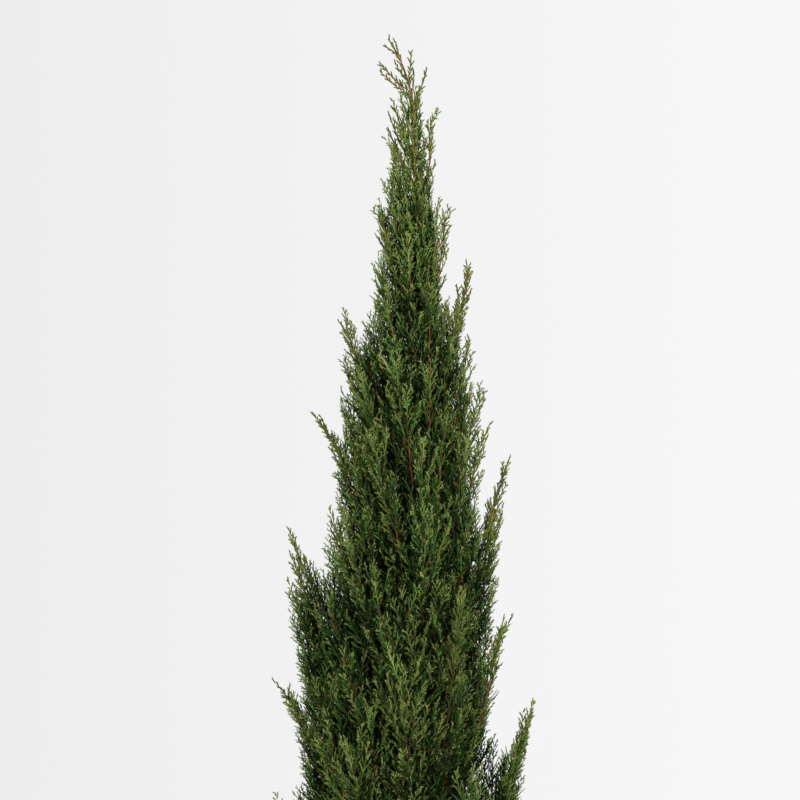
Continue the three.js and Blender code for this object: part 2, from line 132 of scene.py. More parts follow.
# The closed body by depth below the top: its reach left and right of the pot's middle as the viewer
# sees it, and how much it adds to the crown's radius in front and behind
BODY_BELOW = (
    0, 45, 85, 125, 200, 250, 290, 330, 370, 410, 450, 490, 530, 570, 610, 650, 690, 730, 870, 1080,
)
BODY_LEFT = (
    -24, -16, -20, -26, -34, -43, -48, -70, -71, -71,
    -75, -75, -101, -114, -111, -112, -114, -114, -115, -70,
)
BODY_RIGHT = (4, 10, 14, 22, 31, 31, 46, 60, 61, 58, 58, 84, 87, 85, 77, 73, 77, 105, 118, 70)
STAND_OUT_BELOW = (200, 330, 480, 700, 900)
STAND_OUT = (6, 12, 9, -2, 6)
SLIMMEST_BODY = 13

# Plume tips (right, back, below the top) and how plumes leave the trunk, as in the solids
LEADER_TIPS = [
    (-23, 0, 0), (28, -9, 71), (-26, 8, 100), (8, 28, 128), (40, 8, 168), (-37, -6, 172), (-4, -38, 196),
]
SKYLINE_TIPS = [
    (57, 12, 225), (-65, -12, 273), (-102, 8, 373), (82, 30, 385), (100, -22, 418),
    (-122, -10, 488), (105, 16, 578), (-139, 12, 643), (125, -12, 660), (-134, -14, 753),
]
LEADER_SWAY = (0, 6, 9, 0, 3, 8, 0)
SKYLINE_SWAY = (-4, -5, 13, 8, 3, -1, 12, 17, 3, -4)
SWAY_FROM = 0.4
FACING_COUNT = 14
FACING_TOP = 250
FACING_STEP = 37
FACING_SWING = math.radians(32)
FACING_FIRST_TURN = 1
SKIRT_COUNT = 6
SKIRT_TOP = 785
SKIRT_STEP = 22
SKIRT_FIRST_TURN = math.radians(-48)
PLUME_POINTS = 48
PLUME_SHORTEST = 95
PLUME_GROWTH = 0.3
PLUME_LONGEST = 265
PLUME_FOOT_SHARE = 0.28
PLUME_ELBOW_OUT = 0.58
PLUME_ELBOW_UP = 0.36
BOUGH_SHARE = 0.2
BOUGH_RADIUS_TOP = 1.2
BOUGH_RADIUS_GROWTH = 0.0026

# Smaller plumes between the large ones: most by rule, and those at the crown's edge listed one by one
INNER_COUNT = 136
INNER_TOP = 140
INNER_STEP = 6.45
INNER_FIRST_TURN = 0.9
INNER_REACH = (0.74, 1.08)
INNER_WITHIN = 6
INNER_SHOOT_SPACING = 8.6
INNER_SHOOT_SHARE = 0.78
INNER_SHOOT_FIRST = 0.34
EDGE_TIPS = [
    (-121, -3, 513), (-123, -5, 540), (-120, -6, 572), (-66, -34, 468), (-60, -48, 500), (-44, -20, 308),
    (36, -18, 268), (40, -24, 300), (98, -26, 735), (-30, 4, 165), (-32, -6, 218), (-41, 6, 276),
    (28, -6, 163), (37, 6, 262), (92, -8, 468), (94, -6, 578), (107, -8, 712), (112, 4, 738),
    (118, 0, 690), (122, 4, 674), (-113, -4, 540), (-110, 6, 566), (-122, -4, 648), (-112, 8, 752),
    (-56, -34, 512), (4, -84, 575), (12, -80, 612), (-8, -84, 545), (60, 6, 300), (60, -10, 346),
    (71, 8, 344), (-66, 8, 318), (-68, -10, 362), (-74, 12, 400), (76, -8, 545), (-106, 6, 556),
    (-80, -20, 470), (-82, 10, 500), (-16, -8, 112), (-20, 8, 140), (-48, -62, 548), (-72, 40, 575),
    (-30, -74, 612), (-78, -48, 640), (-40, 60, 660), (-14, -80, 580), (-18, 72, 592), (50, 40, 405),
    (58, -34, 470), (60, 36, 520), (50, -8, 262), (46, 12, 288), (-110, -8, 612), (82, -10, 484),
    (-36, 12, 305), (-46, -8, 312), (-55, 6, 342), (-50, 16, 372), (78, -10, 592), (72, 10, 620),
    (-100, -14, 592), (-48, -16, 345), (52, -16, 330), (56, 14, 362), (56, -20, 395), (54, 10, 430),
]

# Shoots on the plumes. One that leaves the crown is tried again at smaller shares of its length and lean
SHOOT_SPACING = 7.2
SHOOT_FEWEST = 4
SHOOT_FIRST = 0.06
SHOOT_LAST = 0.92
SHOOT_JITTER = 0.6
SHOOT_LENGTH_TOP = 42
SHOOT_LENGTH_GROWTH = 0.12
SHOOT_LONGEST = 112
SHOOT_LENGTH_RANGE = (0.8, 1.12)
SHOOT_UPWARD_SHRINK = 0.68
SHOOT_SHRINK_POWER = 1.4
SHOOT_TURN_SPREAD = 0.25
SHOOT_LEAN = math.radians(28)
SHOOT_LEAN_RANGE = (0.65, 1.2)
SHOOT_RISE = 0.6
SHOOT_POINTS = 12
SHOOT_MIDDLE_POINT = 7
SHOOT_TRIES = (1.0, 0.84, 0.7, 0.58, 0.48, 0.38, 0.3, 0.22)
PLUME_SPREAD = 9.5
PLUME_SPREAD_STEP = 4
LOWEST_LEAF = 52
LEAFY_AXIS_FROM = 0.55

# Short shoots on the leader, and those round its tip, listed one by one: how far below the top each starts,
# then its tip (right, back, below the top)
LEADER_LENGTH = 340
LEADER_SPACING = 2.9
LEADER_SHOOT_TOP = 8
LEADER_SHOOT_GROWTH = 0.33
LEADER_LENGTH_RANGE = (0.8, 1.1)
LEADER_FIRST_TURN = 0.4
LEADER_LEAN = math.radians(30)
LEADER_LEAN_RANGE = (0.6, 1.1)
LEADER_SPRAY_SHARE = 0.62
TOP_SPREAD = 13
TOP_SPREAD_STEP = 10
TOP_LEAFY = (0.15, 0.97)
TOP_SHOOTS = [
    (24, -15, 3, 4), (17, -26, -3, 9), (49, 1, -5, 15), (46, -15, 6, 26),
    (56, -31, 5, 25), (61, -31, -5, 34), (63, 4, 8, 33), (72, 17, 2, 31),
    (124, -18, -4, 63), (136, -21, 4, 78), (150, -22, -6, 92), (84, 8, -12, 66),
]
TOP_ELBOW = (0.58, 0.58, 0.45)

# Branchlets on the shoots, by kind of shoot. Outside the closed body they are shorter and thicker
BRANCHLET_SPACING = {"shoot": 3.9, "end": 4.2, "leader": 4.8, "top": 3.4}
BRANCHLET_SHARE = {"shoot": 0.39, "end": 0.3, "leader": 0.34, "top": 0.2}
BRANCHLET_LEAN = {"shoot": 31, "end": 31, "leader": 24, "top": 33}
BRANCHLET_FEWEST = 3
BRANCHLET_FIRST = 0.07
BRANCHLET_LAST = 0.98
BRANCHLET_JITTER = 1
BRANCHLET_SHORTEST = 6
BRANCHLET_LONGEST = 29
BRANCHLET_FULL_FROM = 0.16
BRANCHLET_TAPER_POWER = 0.8
BRANCHLET_LENGTH_RANGE = (0.75, 1.15)
BRANCHLET_TURN_SPREAD = 0.6
BRANCHLET_RISE = 0.3
BRANCHLET_POINTS = 5
BRANCHLET_RADIUS = 0.54
BRANCHLET_END_SHARE = 0.6
BRANCHLET_FOLD = ((-0.87, -0.5), (0.0, 1.0), (0.87, -0.5))
LEAF_LEAN_RANGE = (0.75, 1.2)
OUTER_SPAN = 0.15
OUTER_SHORTER = 0.2
OUTER_THICKER = 0.4
TOP_THICKNESS = 1.75
LEADER_THICKNESS = 1.12

# Sprigs on the branchlets, fewer where foliage hides them: from a share of the crown's radius over a span,
# and by how free they stand
SPRIG_SPACING = 2.2
SPRIG_FEWEST = 2
SPRIG_FIRST = 0.14
SPRIG_LAST = 0.95
SPRIG_JITTER = 0.5
SPRIG_LENGTH = 4.4
SPRIG_LENGTH_RANGE = (0.7, 1.2)
SPRIG_LONGEST_SHARE = 0.75
SPRIG_TAPER = 0.45
SPRIG_TURN_SPREAD = 0.55
SPRIG_LEAN = math.radians(32)
SPRIG_RISE = 0.15
SPRIG_RADIUS = 0.53
SPRIG_END_SHARE = 0.65
SPRIG_FOLD = ((-1.0, 0.0), (1.0, 0.0))
TOP_SPRIG_FROM = 11.5
HIDDEN_SHARE = (0.32, 0.36)
HIDDEN_LEAST = 0.3
HIDDEN_FREE = 0.16

# Tone: each spray's place between painted shade in the crown's inside and painted light at its tips, which is
# partly the real lighter fresh growth, as its parents give it. Low shade and plume shading are painted shade.
# Sprays of ripe arms and of the top have tones above all others and keep them. The olive values give the
# chance that a shoot is ripe, near the top and on arms outside the closed body
ARM_TONE = 1.2
TOP_TONE = 1.7
LIGHTEST_TONE = 1.04
SHOOT_TONE = 0.08
SHOOT_TONE_SPREAD = 0.1
SHOOT_TONE_LIFT = 0.1
PLUME_SHADING = 0.5
PLUME_SHADING_MIDDLE = 0.55
PLUME_END_SHADING = 0.4
PLUME_TONE_SPREAD = 0.09
LOW_SHADE = 0.17
LOW_SHADE_FROM = 60
LOW_SHADE_SPAN = 560
BRANCHLET_FOOT_TONE = -0.06
BRANCHLET_TONE_RISE = 0.4
BRANCHLET_TONE_SPREAD = 0.1
SPRIG_TONE_RISE = 0.2
SPRIG_TONE_MIDDLE = 0.4
SPRIG_TONE_SPREAD = 0.2
OLIVE_MOST = 0.5
OLIVE_DOWN_TO = 210
OLIVE_FADE = 140
OLIVE_ARMS = 0.65
OLIVE_ARM_FADE = 0.2

# Painted light on a spray: what covers it is measured in cells along ways (aside, up) out of the crown. The
# notch ways count only for the freest way. Then the least tones, also painted light: of free sprays, the
# leader, the edge and notches
COVER_CELL = 4.0
COVER_REACH = 32
COVER_FIRST_CELL = 0.8
COVER_FALL = 0.78
COVER_WAYS = ((0, 0.6), (0.9, 0.2), (-0.9, 0.2), (0, -0.4))
NOTCH_WAYS = ((3.0, 0.5), (-3.0, 0.5), (0, 4.0))
FREE_LIFT = 0.68
BASE_LEAST = -0.04
BASE_FALL = 0.34
LEAST_SPREAD = 0.5
LEADER_LEAST = 0.46
LEADER_LEAST_DOWN_TO = 190
EDGE_LEAST = 0.5
EDGE_FROM = 0.84
EDGE_SPAN = 0.1
NOTCH_LEAST = 0.42

# Old twigs inside the crown, near-black: partly their own dark dead wood, partly painted shade
OLD_TWIG_SPACING = 1.4
OLD_TWIG_LAST = 0.6
OLD_TWIG_LENGTH = (16, 36)
OLD_TWIG_FULL_DEPTH = 350
OLD_TWIG_LEAST = 0.45
OLD_TWIG_LEAN = (35, 65)
OLD_TWIG_RISE = 0.3
OLD_TWIG_RADIUS = 1.15
OLD_TWIG_REACH = 0.7
OLD_TWIG_LOWEST = 150

# Wood: relief of the bark as sides, ridges and depth, then the stems and the woody and leafy part of shoots
TRUNK_RELIEF = (40, 9, 0.075)
TRUNK_PHASE = 0.6
BOUGH_RELIEF = (12, 4, 0.05)
STEM_RELIEF = (6, 2, 0.03)
STEM_STEP = 4
STEM_TIP_RADIUS = 0.4
STEM_SLIMNESS = 0.62
STEM_BARE_SHARE = 0.5
STEM_SEEN_SHARE = 0.8
SHOOT_RADIUS = 0.8
SHOOT_SIDES = 3
WOODY_SHARE = 0.34
WOODY_POINTS = 4
WOODY_END_SHARE = 0.75
LEAFY_POINTS = 5
LEAFY_RADIUS = 0.85
LEAFY_TOP_RADIUS = 1.2

# Foliage tones from painted shade in the crown's inside to painted light on the tips, which is partly the
# real lighter fresh growth, then the ripe arms and the top, each greener and browner, as sRGB, and the levels
# that part them
FOLIAGE_TONES = [
    ("dark", (8, 17, 5), (11, 17, 7)),
    ("deep", (21, 41, 14), (28, 40, 16)),
    ("mid", (46, 79, 30), (62, 78, 36)),
    ("fresh", (69, 109, 43), (89, 107, 51)),
    ("bright", (101, 139, 62), (122, 136, 71)),
    ("tip", (143, 170, 86), (158, 167, 92)),
    ("arm", (136, 149, 73), (149, 149, 79)),
    ("ripe", (124, 133, 60), (137, 129, 63)),
]
TONE_LEVELS = (0.19, 0.83)
RIPE_LEVELS = (1.05, 1.45)
LEAF_ROUGHNESS = 0.6
LEAF_SHINE = 0.18
PIECE_TRIANGLES = 190000
HUES = ("green", "olive")
HUE_BY_PLUME = 0.15
HUE_BY_SHOOT = 0.3
HUE_INWARD = 0.5
HUE_BY_BRANCHLET = 0.45
HUE_ALONG_SHOOT = 0.4
HUE_BY_SPRIG = 0.4

# Clay and bark shades, as sRGB
CLAY_SHADES = [(160, 89, 58), (177, 103, 69), (190, 117, 82)]
CLAY_BLOOM = [(190, 134, 102), (203, 155, 126), (214, 174, 148)]
BARK_SHADES = [(56, 42, 33), (98, 74, 57), (142, 116, 94)]
YOUNG_BARK_SHADES = [(104, 65, 38), (134, 88, 53), (160, 112, 70)]

# Grained finishes: shades as sRGB, roughness, scale and stretch of the grain, and strength of the relief
UPRIGHT = (1, 1, 0.1)
EVEN = (1, 1, 1)
GRAINED = {
    "plume_stems": ([(126, 76, 44), (160, 102, 60), (188, 130, 80)], 0.65, 200, UPRIGHT, 0.3),
    "stems": ([(98, 68, 40), (128, 92, 54), (154, 118, 72)], 0.65, 200, UPRIGHT, 0.3),
    # Old twigs: near-black shades, partly their own dead wood and partly painted shade
    "old_twigs": ([(14, 12, 7), (22, 18, 11), (32, 26, 15)], 0.9, 120, EVEN, 0.3),
    "soil": ([(24, 16, 11), (44, 31, 22), (62, 46, 33)], 0.95, 160, EVEN, 0.8),
    "crumbs": ([(20, 14, 9), (40, 28, 20), (66, 48, 34)], 0.95, 220, EVEN, 0.8),
    "chips": ([(48, 30, 18), (82, 54, 34), (116, 84, 56)], 0.9, 90, EVEN, 0.5),
    "grains": ([(186, 180, 168), (206, 201, 190), (222, 219, 210)], 0.9, 400, EVEN, 0.5),
}
GRAIN_SHINE = 0.25
GRAIN_FINER = 6
GRAIN_DEPTH = 0.4
SHADE_RANGE = (0.3, 0.7)

# Stage, in metres and watts: floor, background from left to right, light from all round, and lamps
FLOOR_RADIUS = 2.6
FLOOR_SIDES = 96
FLOOR_GREY = (198, 198, 198)
BACKGROUND_SPAN = (-0.13, 0.13)
BACKGROUND_SHADES = (0.845, 0.935)
ROUND_LIGHT = 0.52
LAMP_TARGET = (0, 0, 0.8)
LAMPS = [
    ("overhead", (0, 0, 4.2), 3.0, 56),
    ("key", (-0.3, -2.4, 3.2), 1.4, 16),
    ("fill", (2.4, -0.6, 1.9), 1.6, 52),
    ("back_left", (-2.4, 0.1, 2.2), 1.6, 60),
    ("back_right", (2.2, 1.4, 2.6), 1.6, 46),
]

# View: the photograph's centre at the trunk (right, height above the floor), and what one frame spans there
VIEW_CENTRE = (-10, 987)
VIEW_SPAN = 800
VIEW_DISTANCE = 3200
SENSOR = 36


def main():
    """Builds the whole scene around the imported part."""
    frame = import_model()
    materials = make_materials()
    tree = grow_tree()
    make_pot(materials)
    make_soil(materials)
    make_bark(tree, materials, frame)
    make_foliage(tree, materials, frame)
    make_stage()
    make_camera()


# Lines: arrays of points in the tree's own millimetres above the soil
def catmull_rom(points, count):
    """A centripetal spline through the points, as evenly spaced points."""
    knots = np.array(points, float)
    knots = np.vstack([2 * knots[0] - knots[1], knots, 2 * knots[-1] - knots[-2]])
    found = []
    for p0, p1, p2, p3 in zip(knots, knots[1:], knots[2:], knots[3:]):
        d0, d1, d2 = (np.sqrt(np.linalg.norm(b - a)) for a, b in ((p0, p1), (p1, p2), (p2, p3)))
        t1 = ((p1 - p0) / d0 - (p2 - p0) / (d0 + d1) + (p2 - p1) / d1) * d1
        t2 = ((p2 - p1) / d1 - (p3 - p1) / (d1 + d2) + (p3 - p2) / d2) * d1
        t = np.linspace(0, 1, count)[:, None]
        cubic = 2 * p1 - 2 * p2 + t1 + t2
        square = -3 * p1 + 3 * p2 - 2 * t1 - t2
        found.append(p1 + t1 * t + square * t**2 + cubic * t**3)
    return evenly(np.vstack(found), count)


def evenly(points, count):
    """The line through the points again, as that many evenly spaced points."""
    steps = np.linalg.norm(np.diff(points, axis=0), axis=1)
    along = np.concatenate([[0], np.cumsum(steps)])
    wanted = np.linspace(0, along[-1], count)
    return np.stack([np.interp(wanted, along, points[:, k]) for k in range(3)], axis=1)


def quadratic(a, b, c, count):
    """Points of a quadratic curve from a to c, drawn towards b."""
    t = np.linspace(0, 1, count)[:, None]
    return (1 - t) ** 2 * np.array(a) + 2 * t * (1 - t) * np.array(b) + t**2 * np.array(c)


def bezier(foot, elbow, tip, count):
    """A quadratic curve as evenly spaced points."""
    return evenly(quadratic(foot, elbow, tip, 4 * count), count)


def unit(vectors):
    """The vectors at length 1."""
    return vectors / np.maximum(np.linalg.norm(vectors, axis=-1, keepdims=True), 1e-12)


def ramp(value, start, span):
    """0 up to the start, then rising to 1 over the span."""
    return np.clip((value - start) / span, 0, 1)


def tangents(lines):
    """Unit tangents at every point of every line."""
    return unit(np.gradient(lines, axis=-2))


def sideways(along):
    """Two unit vectors square to each direction and to each other."""
    helper = np.where(np.abs(along[..., 1:2]) < 0.8, [0.0, 1.0, 0.0], [1.0, 0.0, 0.0])
    side = unit(np.cross(helper, along))
    return side, np.cross(along, side)


def line_lengths(lines):
    """Length of every line."""
    return np.linalg.norm(np.diff(lines, axis=1), axis=2).sum(axis=1)


def at(lines, index, share):
    """Points and tangents at a share along the lines with those indices."""
    place = share * (lines.shape[1] - 1)
    low = np.minimum(place.astype(int), lines.shape[1] - 2)
    part = (place - low)[:, None]
    start, end = lines[index, low], lines[index, low + 1]
    return start + (end - start) * part, unit(end - start)


def at_height(line, height):
    """The point of an upright line at a height."""
    return np.array([np.interp(height, line[:, 2], line[:, k]) for k in range(3)])


def stretch(lines, a, b, count):
    """The stretch of each line from share a to share b, with that many points."""
    shares = np.linspace(a, b, count)
    index = np.repeat(np.arange(len(lines)), count)
    points, _ = at(lines, index, np.tile(shares, len(lines)))
    return points.reshape(len(lines), count, 3)


def dealt(counts):
    """For parents with so many children each: every child's parent, and its order on that parent."""
    return np.repeat(np.arange(len(counts)), counts), np.concatenate([np.arange(n) for n in counts])


def children(lines, counts, first, last, jitter, random):
    """Children along each line from a first to a last share: parent, order, share, foot and direction."""
    index, order = dealt(counts)
    start = np.broadcast_to(first, len(counts))[index]
    share = start + (last - start) * (order + jitter * random.random(len(order))) / counts[index]
    return index, order, share, *at(lines, index, share)


def sprout(points, along, turns, leans, lengths, rise, count):
    """New lines from those points: each leans out from its parent's direction and bends up again."""
    side, ahead = sideways(along)
    out = side * np.cos(turns)[:, None] + ahead * np.sin(turns)[:, None]
    first = along * np.cos(leans)[:, None] + out * np.sin(leans)[:, None]
    last = unit(first + rise * (0.5 * along + 0.5 * UP))
    t = np.linspace(0, 1, count)[None, :, None]
    bend = first[:, None] * t + (last - first)[:, None] * t**2 / 2
    return points[:, None] + lengths[:, None, None] * bend


# The crown: its outline, and the closed body that the photograph shows
def crown_radius(below):
    """Half the crown's width at a distance below its top."""
    share = np.asarray(below) / CROWN_LENGTH
    rise = ramp(share, 0, CROWN_WIDEST_AT)
    fall = np.maximum(0, (share - CROWN_WIDEST_AT) / (1 - CROWN_WIDEST_AT))
    return CROWN_RADIUS * np.sin(math.pi / 2 * rise**CROWN_FULLNESS) * (1 - CROWN_FOOT_NARROWING * fall**2)


def body_section(below):
    """Middle of the closed body at a depth below the top, and its reach sideways and to front and back."""
    left, right = np.interp(below, BODY_BELOW, BODY_LEFT), np.interp(below, BODY_BELOW, BODY_RIGHT)
    deep = crown_radius(below) + np.interp(below, STAND_OUT_BELOW, STAND_OUT)
    return (left + right) / 2, np.maximum(SLIMMEST_BODY, (right - left) / 2), np.maximum(SLIMMEST_BODY, deep)


def from_middle(points):
    """Distance of each point from the middle of the closed body, as a share of the body's reach there."""
    middle, across, deep = body_section(TREE_HEIGHT - points[:, 2])
    return np.hypot((points[:, 0] - middle) / across, points[:, 1] / deep)


def within_crown(points, parents, spread):
    """Whether each point keeps inside the crown or close round its own plume's line."""
    nearest = np.full(len(points), np.inf)
    for k in range(parents.shape[1]):
        nearest = np.minimum(nearest, np.linalg.norm(points - parents[:, k], axis=1))
    height = points[:, 2]
    return (height < TREE_HEIGHT) & (height > LOWEST_LEAF) & ((from_middle(points) < 1) | (nearest < spread))


def outline_tip(turn, below):
    """A tip on the crown's outline at a turn about the trunk."""
    radius = float(crown_radius(below))
    return (radius * math.cos(turn), radius * math.sin(turn), below)


# The tree's rule: trunk, plumes, shoots, branchlets and sprigs
def plume_tips():
    """Plume tips from the top down, each with the bare share of its line."""
    found = [(tip, BOUGH_SHARE) for tip in SKYLINE_TIPS]
    for k in range(SKIRT_COUNT):
        tip = outline_tip(SKIRT_FIRST_TURN + k * GOLDEN_TURN, SKIRT_TOP + k * SKIRT_STEP)
        found.append((tip, BOUGH_SHARE))
    for k in range(FACING_COUNT):
        side = math.pi / 2 if k % 2 else -math.pi / 2
        swing = FACING_SWING * math.sin(k * GOLDEN_TURN + FACING_FIRST_TURN)
        found.append((outline_tip(side + swing, FACING_TOP + k * FACING_STEP), 0.0))
    return sorted(found, key=lambda plume: plume[0][2])


def inner_tips():
    """Tips of the smaller plumes, spread evenly round the trunk and over the crown's depth."""
    nearest, furthest = INNER_REACH
    found = []
    for k in range(INNER_COUNT):
        turn = INNER_FIRST_TURN + k * GOLDEN_TURN
        below = INNER_TOP + k * INNER_STEP
        share = nearest + (furthest - nearest) * (k * GOLDEN_SHARE % 1)
        middle, across, deep = body_section(below)
        right = middle + share * (across - INNER_WITHIN) * math.cos(turn)
        found.append((right, share * (deep - INNER_WITHIN) * math.sin(turn), below))
    return found + EDGE_TIPS


def plume_line(trunk, tip):
    """A plume's line from the trunk to its tip."""
    right, back, below = tip
    end = np.array([right, back, TREE_HEIGHT - below], float)
    length = min(PLUME_LONGEST, PLUME_SHORTEST + PLUME_GROWTH * below)
    foot = at_height(trunk, max(end[2] - length, PLUME_FOOT_SHARE * end[2]))
    elbow = foot + (end - foot) * PLUME_ELBOW_OUT
    elbow[2] = foot[2] + (end[2] - foot[2]) * PLUME_ELBOW_UP
    return bezier(foot, elbow, end, PLUME_POINTS)


def swayed(line, sway):
    """A plume's line whose outer half is drawn in towards the trunk, so that its tip leans out."""
    inwards = -unit(line[-1, :2] - line[0, :2])
    share = ramp(np.linspace(0, 1, len(line)), SWAY_FROM, 1 - SWAY_FROM)
    bend = share**2 * (1 - share)
    moved = line.copy()
    moved[:, :2] += sway * (bend / bend.max())[:, None] * inwards
    return moved


def top_line(trunk, tip):
    """The leader's top spray grows on from the trunk's tip."""
    right, back, below = tip
    end = np.array([right, back, TREE_HEIGHT - below], float)
    foot = trunk[-1]
    elbow = foot + unit(trunk[-1] - trunk[-2]) * np.linalg.norm(end - foot) / 2
    return bezier(foot, elbow, end, PLUME_POINTS)


def grow_plumes(trunk):
    """The leader's sprays, the large plumes and the smaller ones, each with where and how its shoots grow."""
    tips = plume_tips()
    sways = dict(zip(LEADER_TIPS + SKYLINE_TIPS, LEADER_SWAY + SKYLINE_SWAY))
    lines = [top_line(trunk, LEADER_TIPS[0])]
    lines += [swayed(plume_line(trunk, tip), sways[tip]) for tip in LEADER_TIPS[1:]]
    lines += [swayed(plume_line(trunk, tip), sways.get(tip, 0)) for tip, _ in tips]
    large = len(lines)
    lines = np.array(lines + [plume_line(trunk, tip) for tip in inner_tips()])
    inner = len(lines) - large
    bare = [0.0] * len(LEADER_TIPS) + [share for _, share in tips]
    scale = [LEADER_SPRAY_SHARE] * len(LEADER_TIPS) + [1.0] * len(tips) + [INNER_SHOOT_SHARE] * inner
    return {
        "lines": lines,
        "bare": np.array(bare + [0.0] * inner),
        "first": np.array([SHOOT_FIRST + share for share in bare] + [INNER_SHOOT_FIRST] * inner),
        "scale": np.array(scale),
        "spacing": np.array([SHOOT_SPACING] * large + [INNER_SHOOT_SPACING] * inner),
        "depth": TREE_HEIGHT - lines[:, -1, 2],
    }


def grow_tree():
    """All lines of the tree, from the trunk to the sprigs, with their sizes and tones."""
    random = np.random.default_rng(SEED)
    trunk = catmull_rom(TRUNK_LINE, TRUNK_POINTS)
    plumes = grow_plumes(trunk)
    shoots = grow_shoots(trunk, plumes, random)
    branchlets = grow_branchlets(shoots, random)
    sprigs = grow_sprigs(branchlets, random)
    shade_by_cover(shoots, branchlets, sprigs)
    kept = sprigs["free"] > HIDDEN_FREE
    kept[::2] = True
    return {
        "trunk": trunk,
        "plumes": plumes,
        "shoots": shoots,
        "branchlets": branchlets,
        "sprigs": {name: values[kept] for name, values in sprigs.items()},
        "old_twigs": grow_old_twigs(plumes, random),
    }


def grow_shoots(trunk, plumes, random):
    """Shoots on every plume and on the trunk inside the crown, and each plume's own leafy end."""
    lines = plumes["lines"]
    made, index, share = plume_shoots(plumes, random)
    leader = leader_shoots(trunk, random)
    ends = stretch(lines[1:], LEAFY_AXIS_FROM, 1, SHOOT_POINTS)
    kinds = {
        "shoot": made,
        "leader": leader,
        "end": np.concatenate([stretch(lines[:1], *TOP_LEAFY, SHOOT_POINTS), ends]),
        "top": top_shoots(np.vstack([trunk, lines[0, 1:]])),
    }
    grown = np.concatenate(list(kinds.values()))
    kind = np.concatenate([[name] * len(some) for name, some in kinds.items()])
    kind[len(made) + len(leader)] = "top"
    below = TREE_HEIGHT - grown[:, -1, 2]
    outward = from_middle(grown[:, -1])
    tone = SHOOT_TONE + random.normal(0, SHOOT_TONE_SPREAD, len(grown))
    plume_hue = random.normal(0, HUE_BY_PLUME, len(lines))
    hue = random.normal(0, HUE_BY_SHOOT, len(grown)) + HUE_INWARD * (np.clip(outward, 0, 1) - 1)
    hue[: len(made)] += plume_hue[index]
    plume_tone = random.normal(0, PLUME_TONE_SPREAD, len(lines))
    # Painted shade: darker towards each plume's foot, and lower down the tree
    tone[: len(made)] += PLUME_SHADING * (share - PLUME_SHADING_MIDDLE) + plume_tone[index]
    tone[kind == "end"] += PLUME_SHADING * PLUME_END_SHADING + plume_tone[1:]
    tone -= LOW_SHADE * ramp(below, LOW_SHADE_FROM, LOW_SHADE_SPAN)
    chance = random.random(len(grown))
    ripe = chance < OLIVE_MOST * np.clip((OLIVE_DOWN_TO - below) / OLIVE_FADE, 0, 1)
    ripe |= chance < OLIVE_ARMS * ramp(outward, 1, OLIVE_ARM_FADE)
    tone[ripe] = ARM_TONE
    tone[kind == "top"] = TOP_TONE
    return {"lines": grown, "size": line_lengths(grown), "kind": kind, "tone": tone, "hue": hue}


def plume_shoots(plumes, random):
    """Shoots along every plume but the leader's top, each with its plume's index and its share along it."""
    lines = plumes["lines"]
    counts = np.round(line_lengths(lines) * (SHOOT_LAST - plumes["first"]) / plumes["spacing"])
    counts = np.maximum(SHOOT_FEWEST, counts).astype(int)
    counts[0] = 0
    grown = children(lines, counts, plumes["first"], SHOOT_LAST, SHOOT_JITTER, random)
    index, order, share, points, along = grown
    size = np.minimum(SHOOT_LONGEST, SHOOT_LENGTH_TOP + SHOOT_LENGTH_GROWTH * plumes["depth"][index])
    size = size * plumes["scale"][index] * (1 - SHOOT_UPWARD_SHRINK * share**SHOOT_SHRINK_POWER)
    size = size * random.uniform(*SHOOT_LENGTH_RANGE, len(order))
    turn = index + order * GOLDEN_TURN + random.normal(0, SHOOT_TURN_SPREAD, len(order))
    lean = SHOOT_LEAN * random.uniform(*SHOOT_LEAN_RANGE, len(order))
    parents = lines[index, ::PLUME_SPREAD_STEP]
    made, kept = fitted(parents, PLUME_SPREAD, points, along, turn, lean, size)
    return made, index[kept], share[kept]


def leader_shoots(trunk, random):
    """Short shoots close along the trunk's top."""
    heights = np.arange(TREE_HEIGHT - LEADER_LENGTH, trunk[-1, 2], LEADER_SPACING)
    share = np.interp(heights, trunk[:, 2], np.linspace(0, 1, len(trunk)))
    points, along = at(trunk[None], np.zeros(len(heights), int), share)
    size = LEADER_SHOOT_TOP + LEADER_SHOOT_GROWTH * (TREE_HEIGHT - heights)
    size = size * random.uniform(*LEADER_LENGTH_RANGE, len(heights))
    turn = np.arange(len(heights)) * GOLDEN_TURN + LEADER_FIRST_TURN
    lean = LEADER_LEAN * random.uniform(*LEADER_LEAN_RANGE, len(heights))
    parents = np.repeat(trunk[None, ::TOP_SPREAD_STEP], len(points), axis=0)
    made, _ = fitted(parents, TOP_SPREAD, points, along, turn, lean, size)
    return made


def top_shoots(leader):
    """The shoots round the leader's tip, each bending up a little towards its own tip."""
    found = []
    for start_below, right, back, below in TOP_SHOOTS:
        start = at_height(leader, TREE_HEIGHT - start_below)
        tip = np.array([right, back, TREE_HEIGHT - below], float)
        found.append(bezier(start, start + (tip - start) * TOP_ELBOW, tip, SHOOT_POINTS))
    return np.array(found)


def fitted(parents, spread, points, along, turn, lean, size):
    """Shoots that keep to the crown: one that leaves it is tried again shorter and steeper, then left out."""
    found = np.zeros((len(points), SHOOT_POINTS, 3))
    waiting = np.ones(len(points), bool)
    for shrink in SHOOT_TRIES:
        lines = sprout(points, along, turn, lean * shrink, size * shrink, SHOOT_RISE, SHOOT_POINTS)
        good = waiting & within_crown(lines[:, -1], parents, spread)
        good &= within_crown(lines[:, SHOOT_MIDDLE_POINT], parents, spread)
        found[good] = lines[good]
        waiting &= ~good
    return found[~waiting], ~waiting


def by_kind(values, kind):
    """The value for every kind of shoot."""
    return np.vectorize(values.get)(kind)


def unless_ripe(parents, tone):
    """The new tone up to the lightest, or the parent's own tone where that is ripe."""
    return np.where(parents >= ARM_TONE, parents, np.minimum(tone, LIGHTEST_TONE))


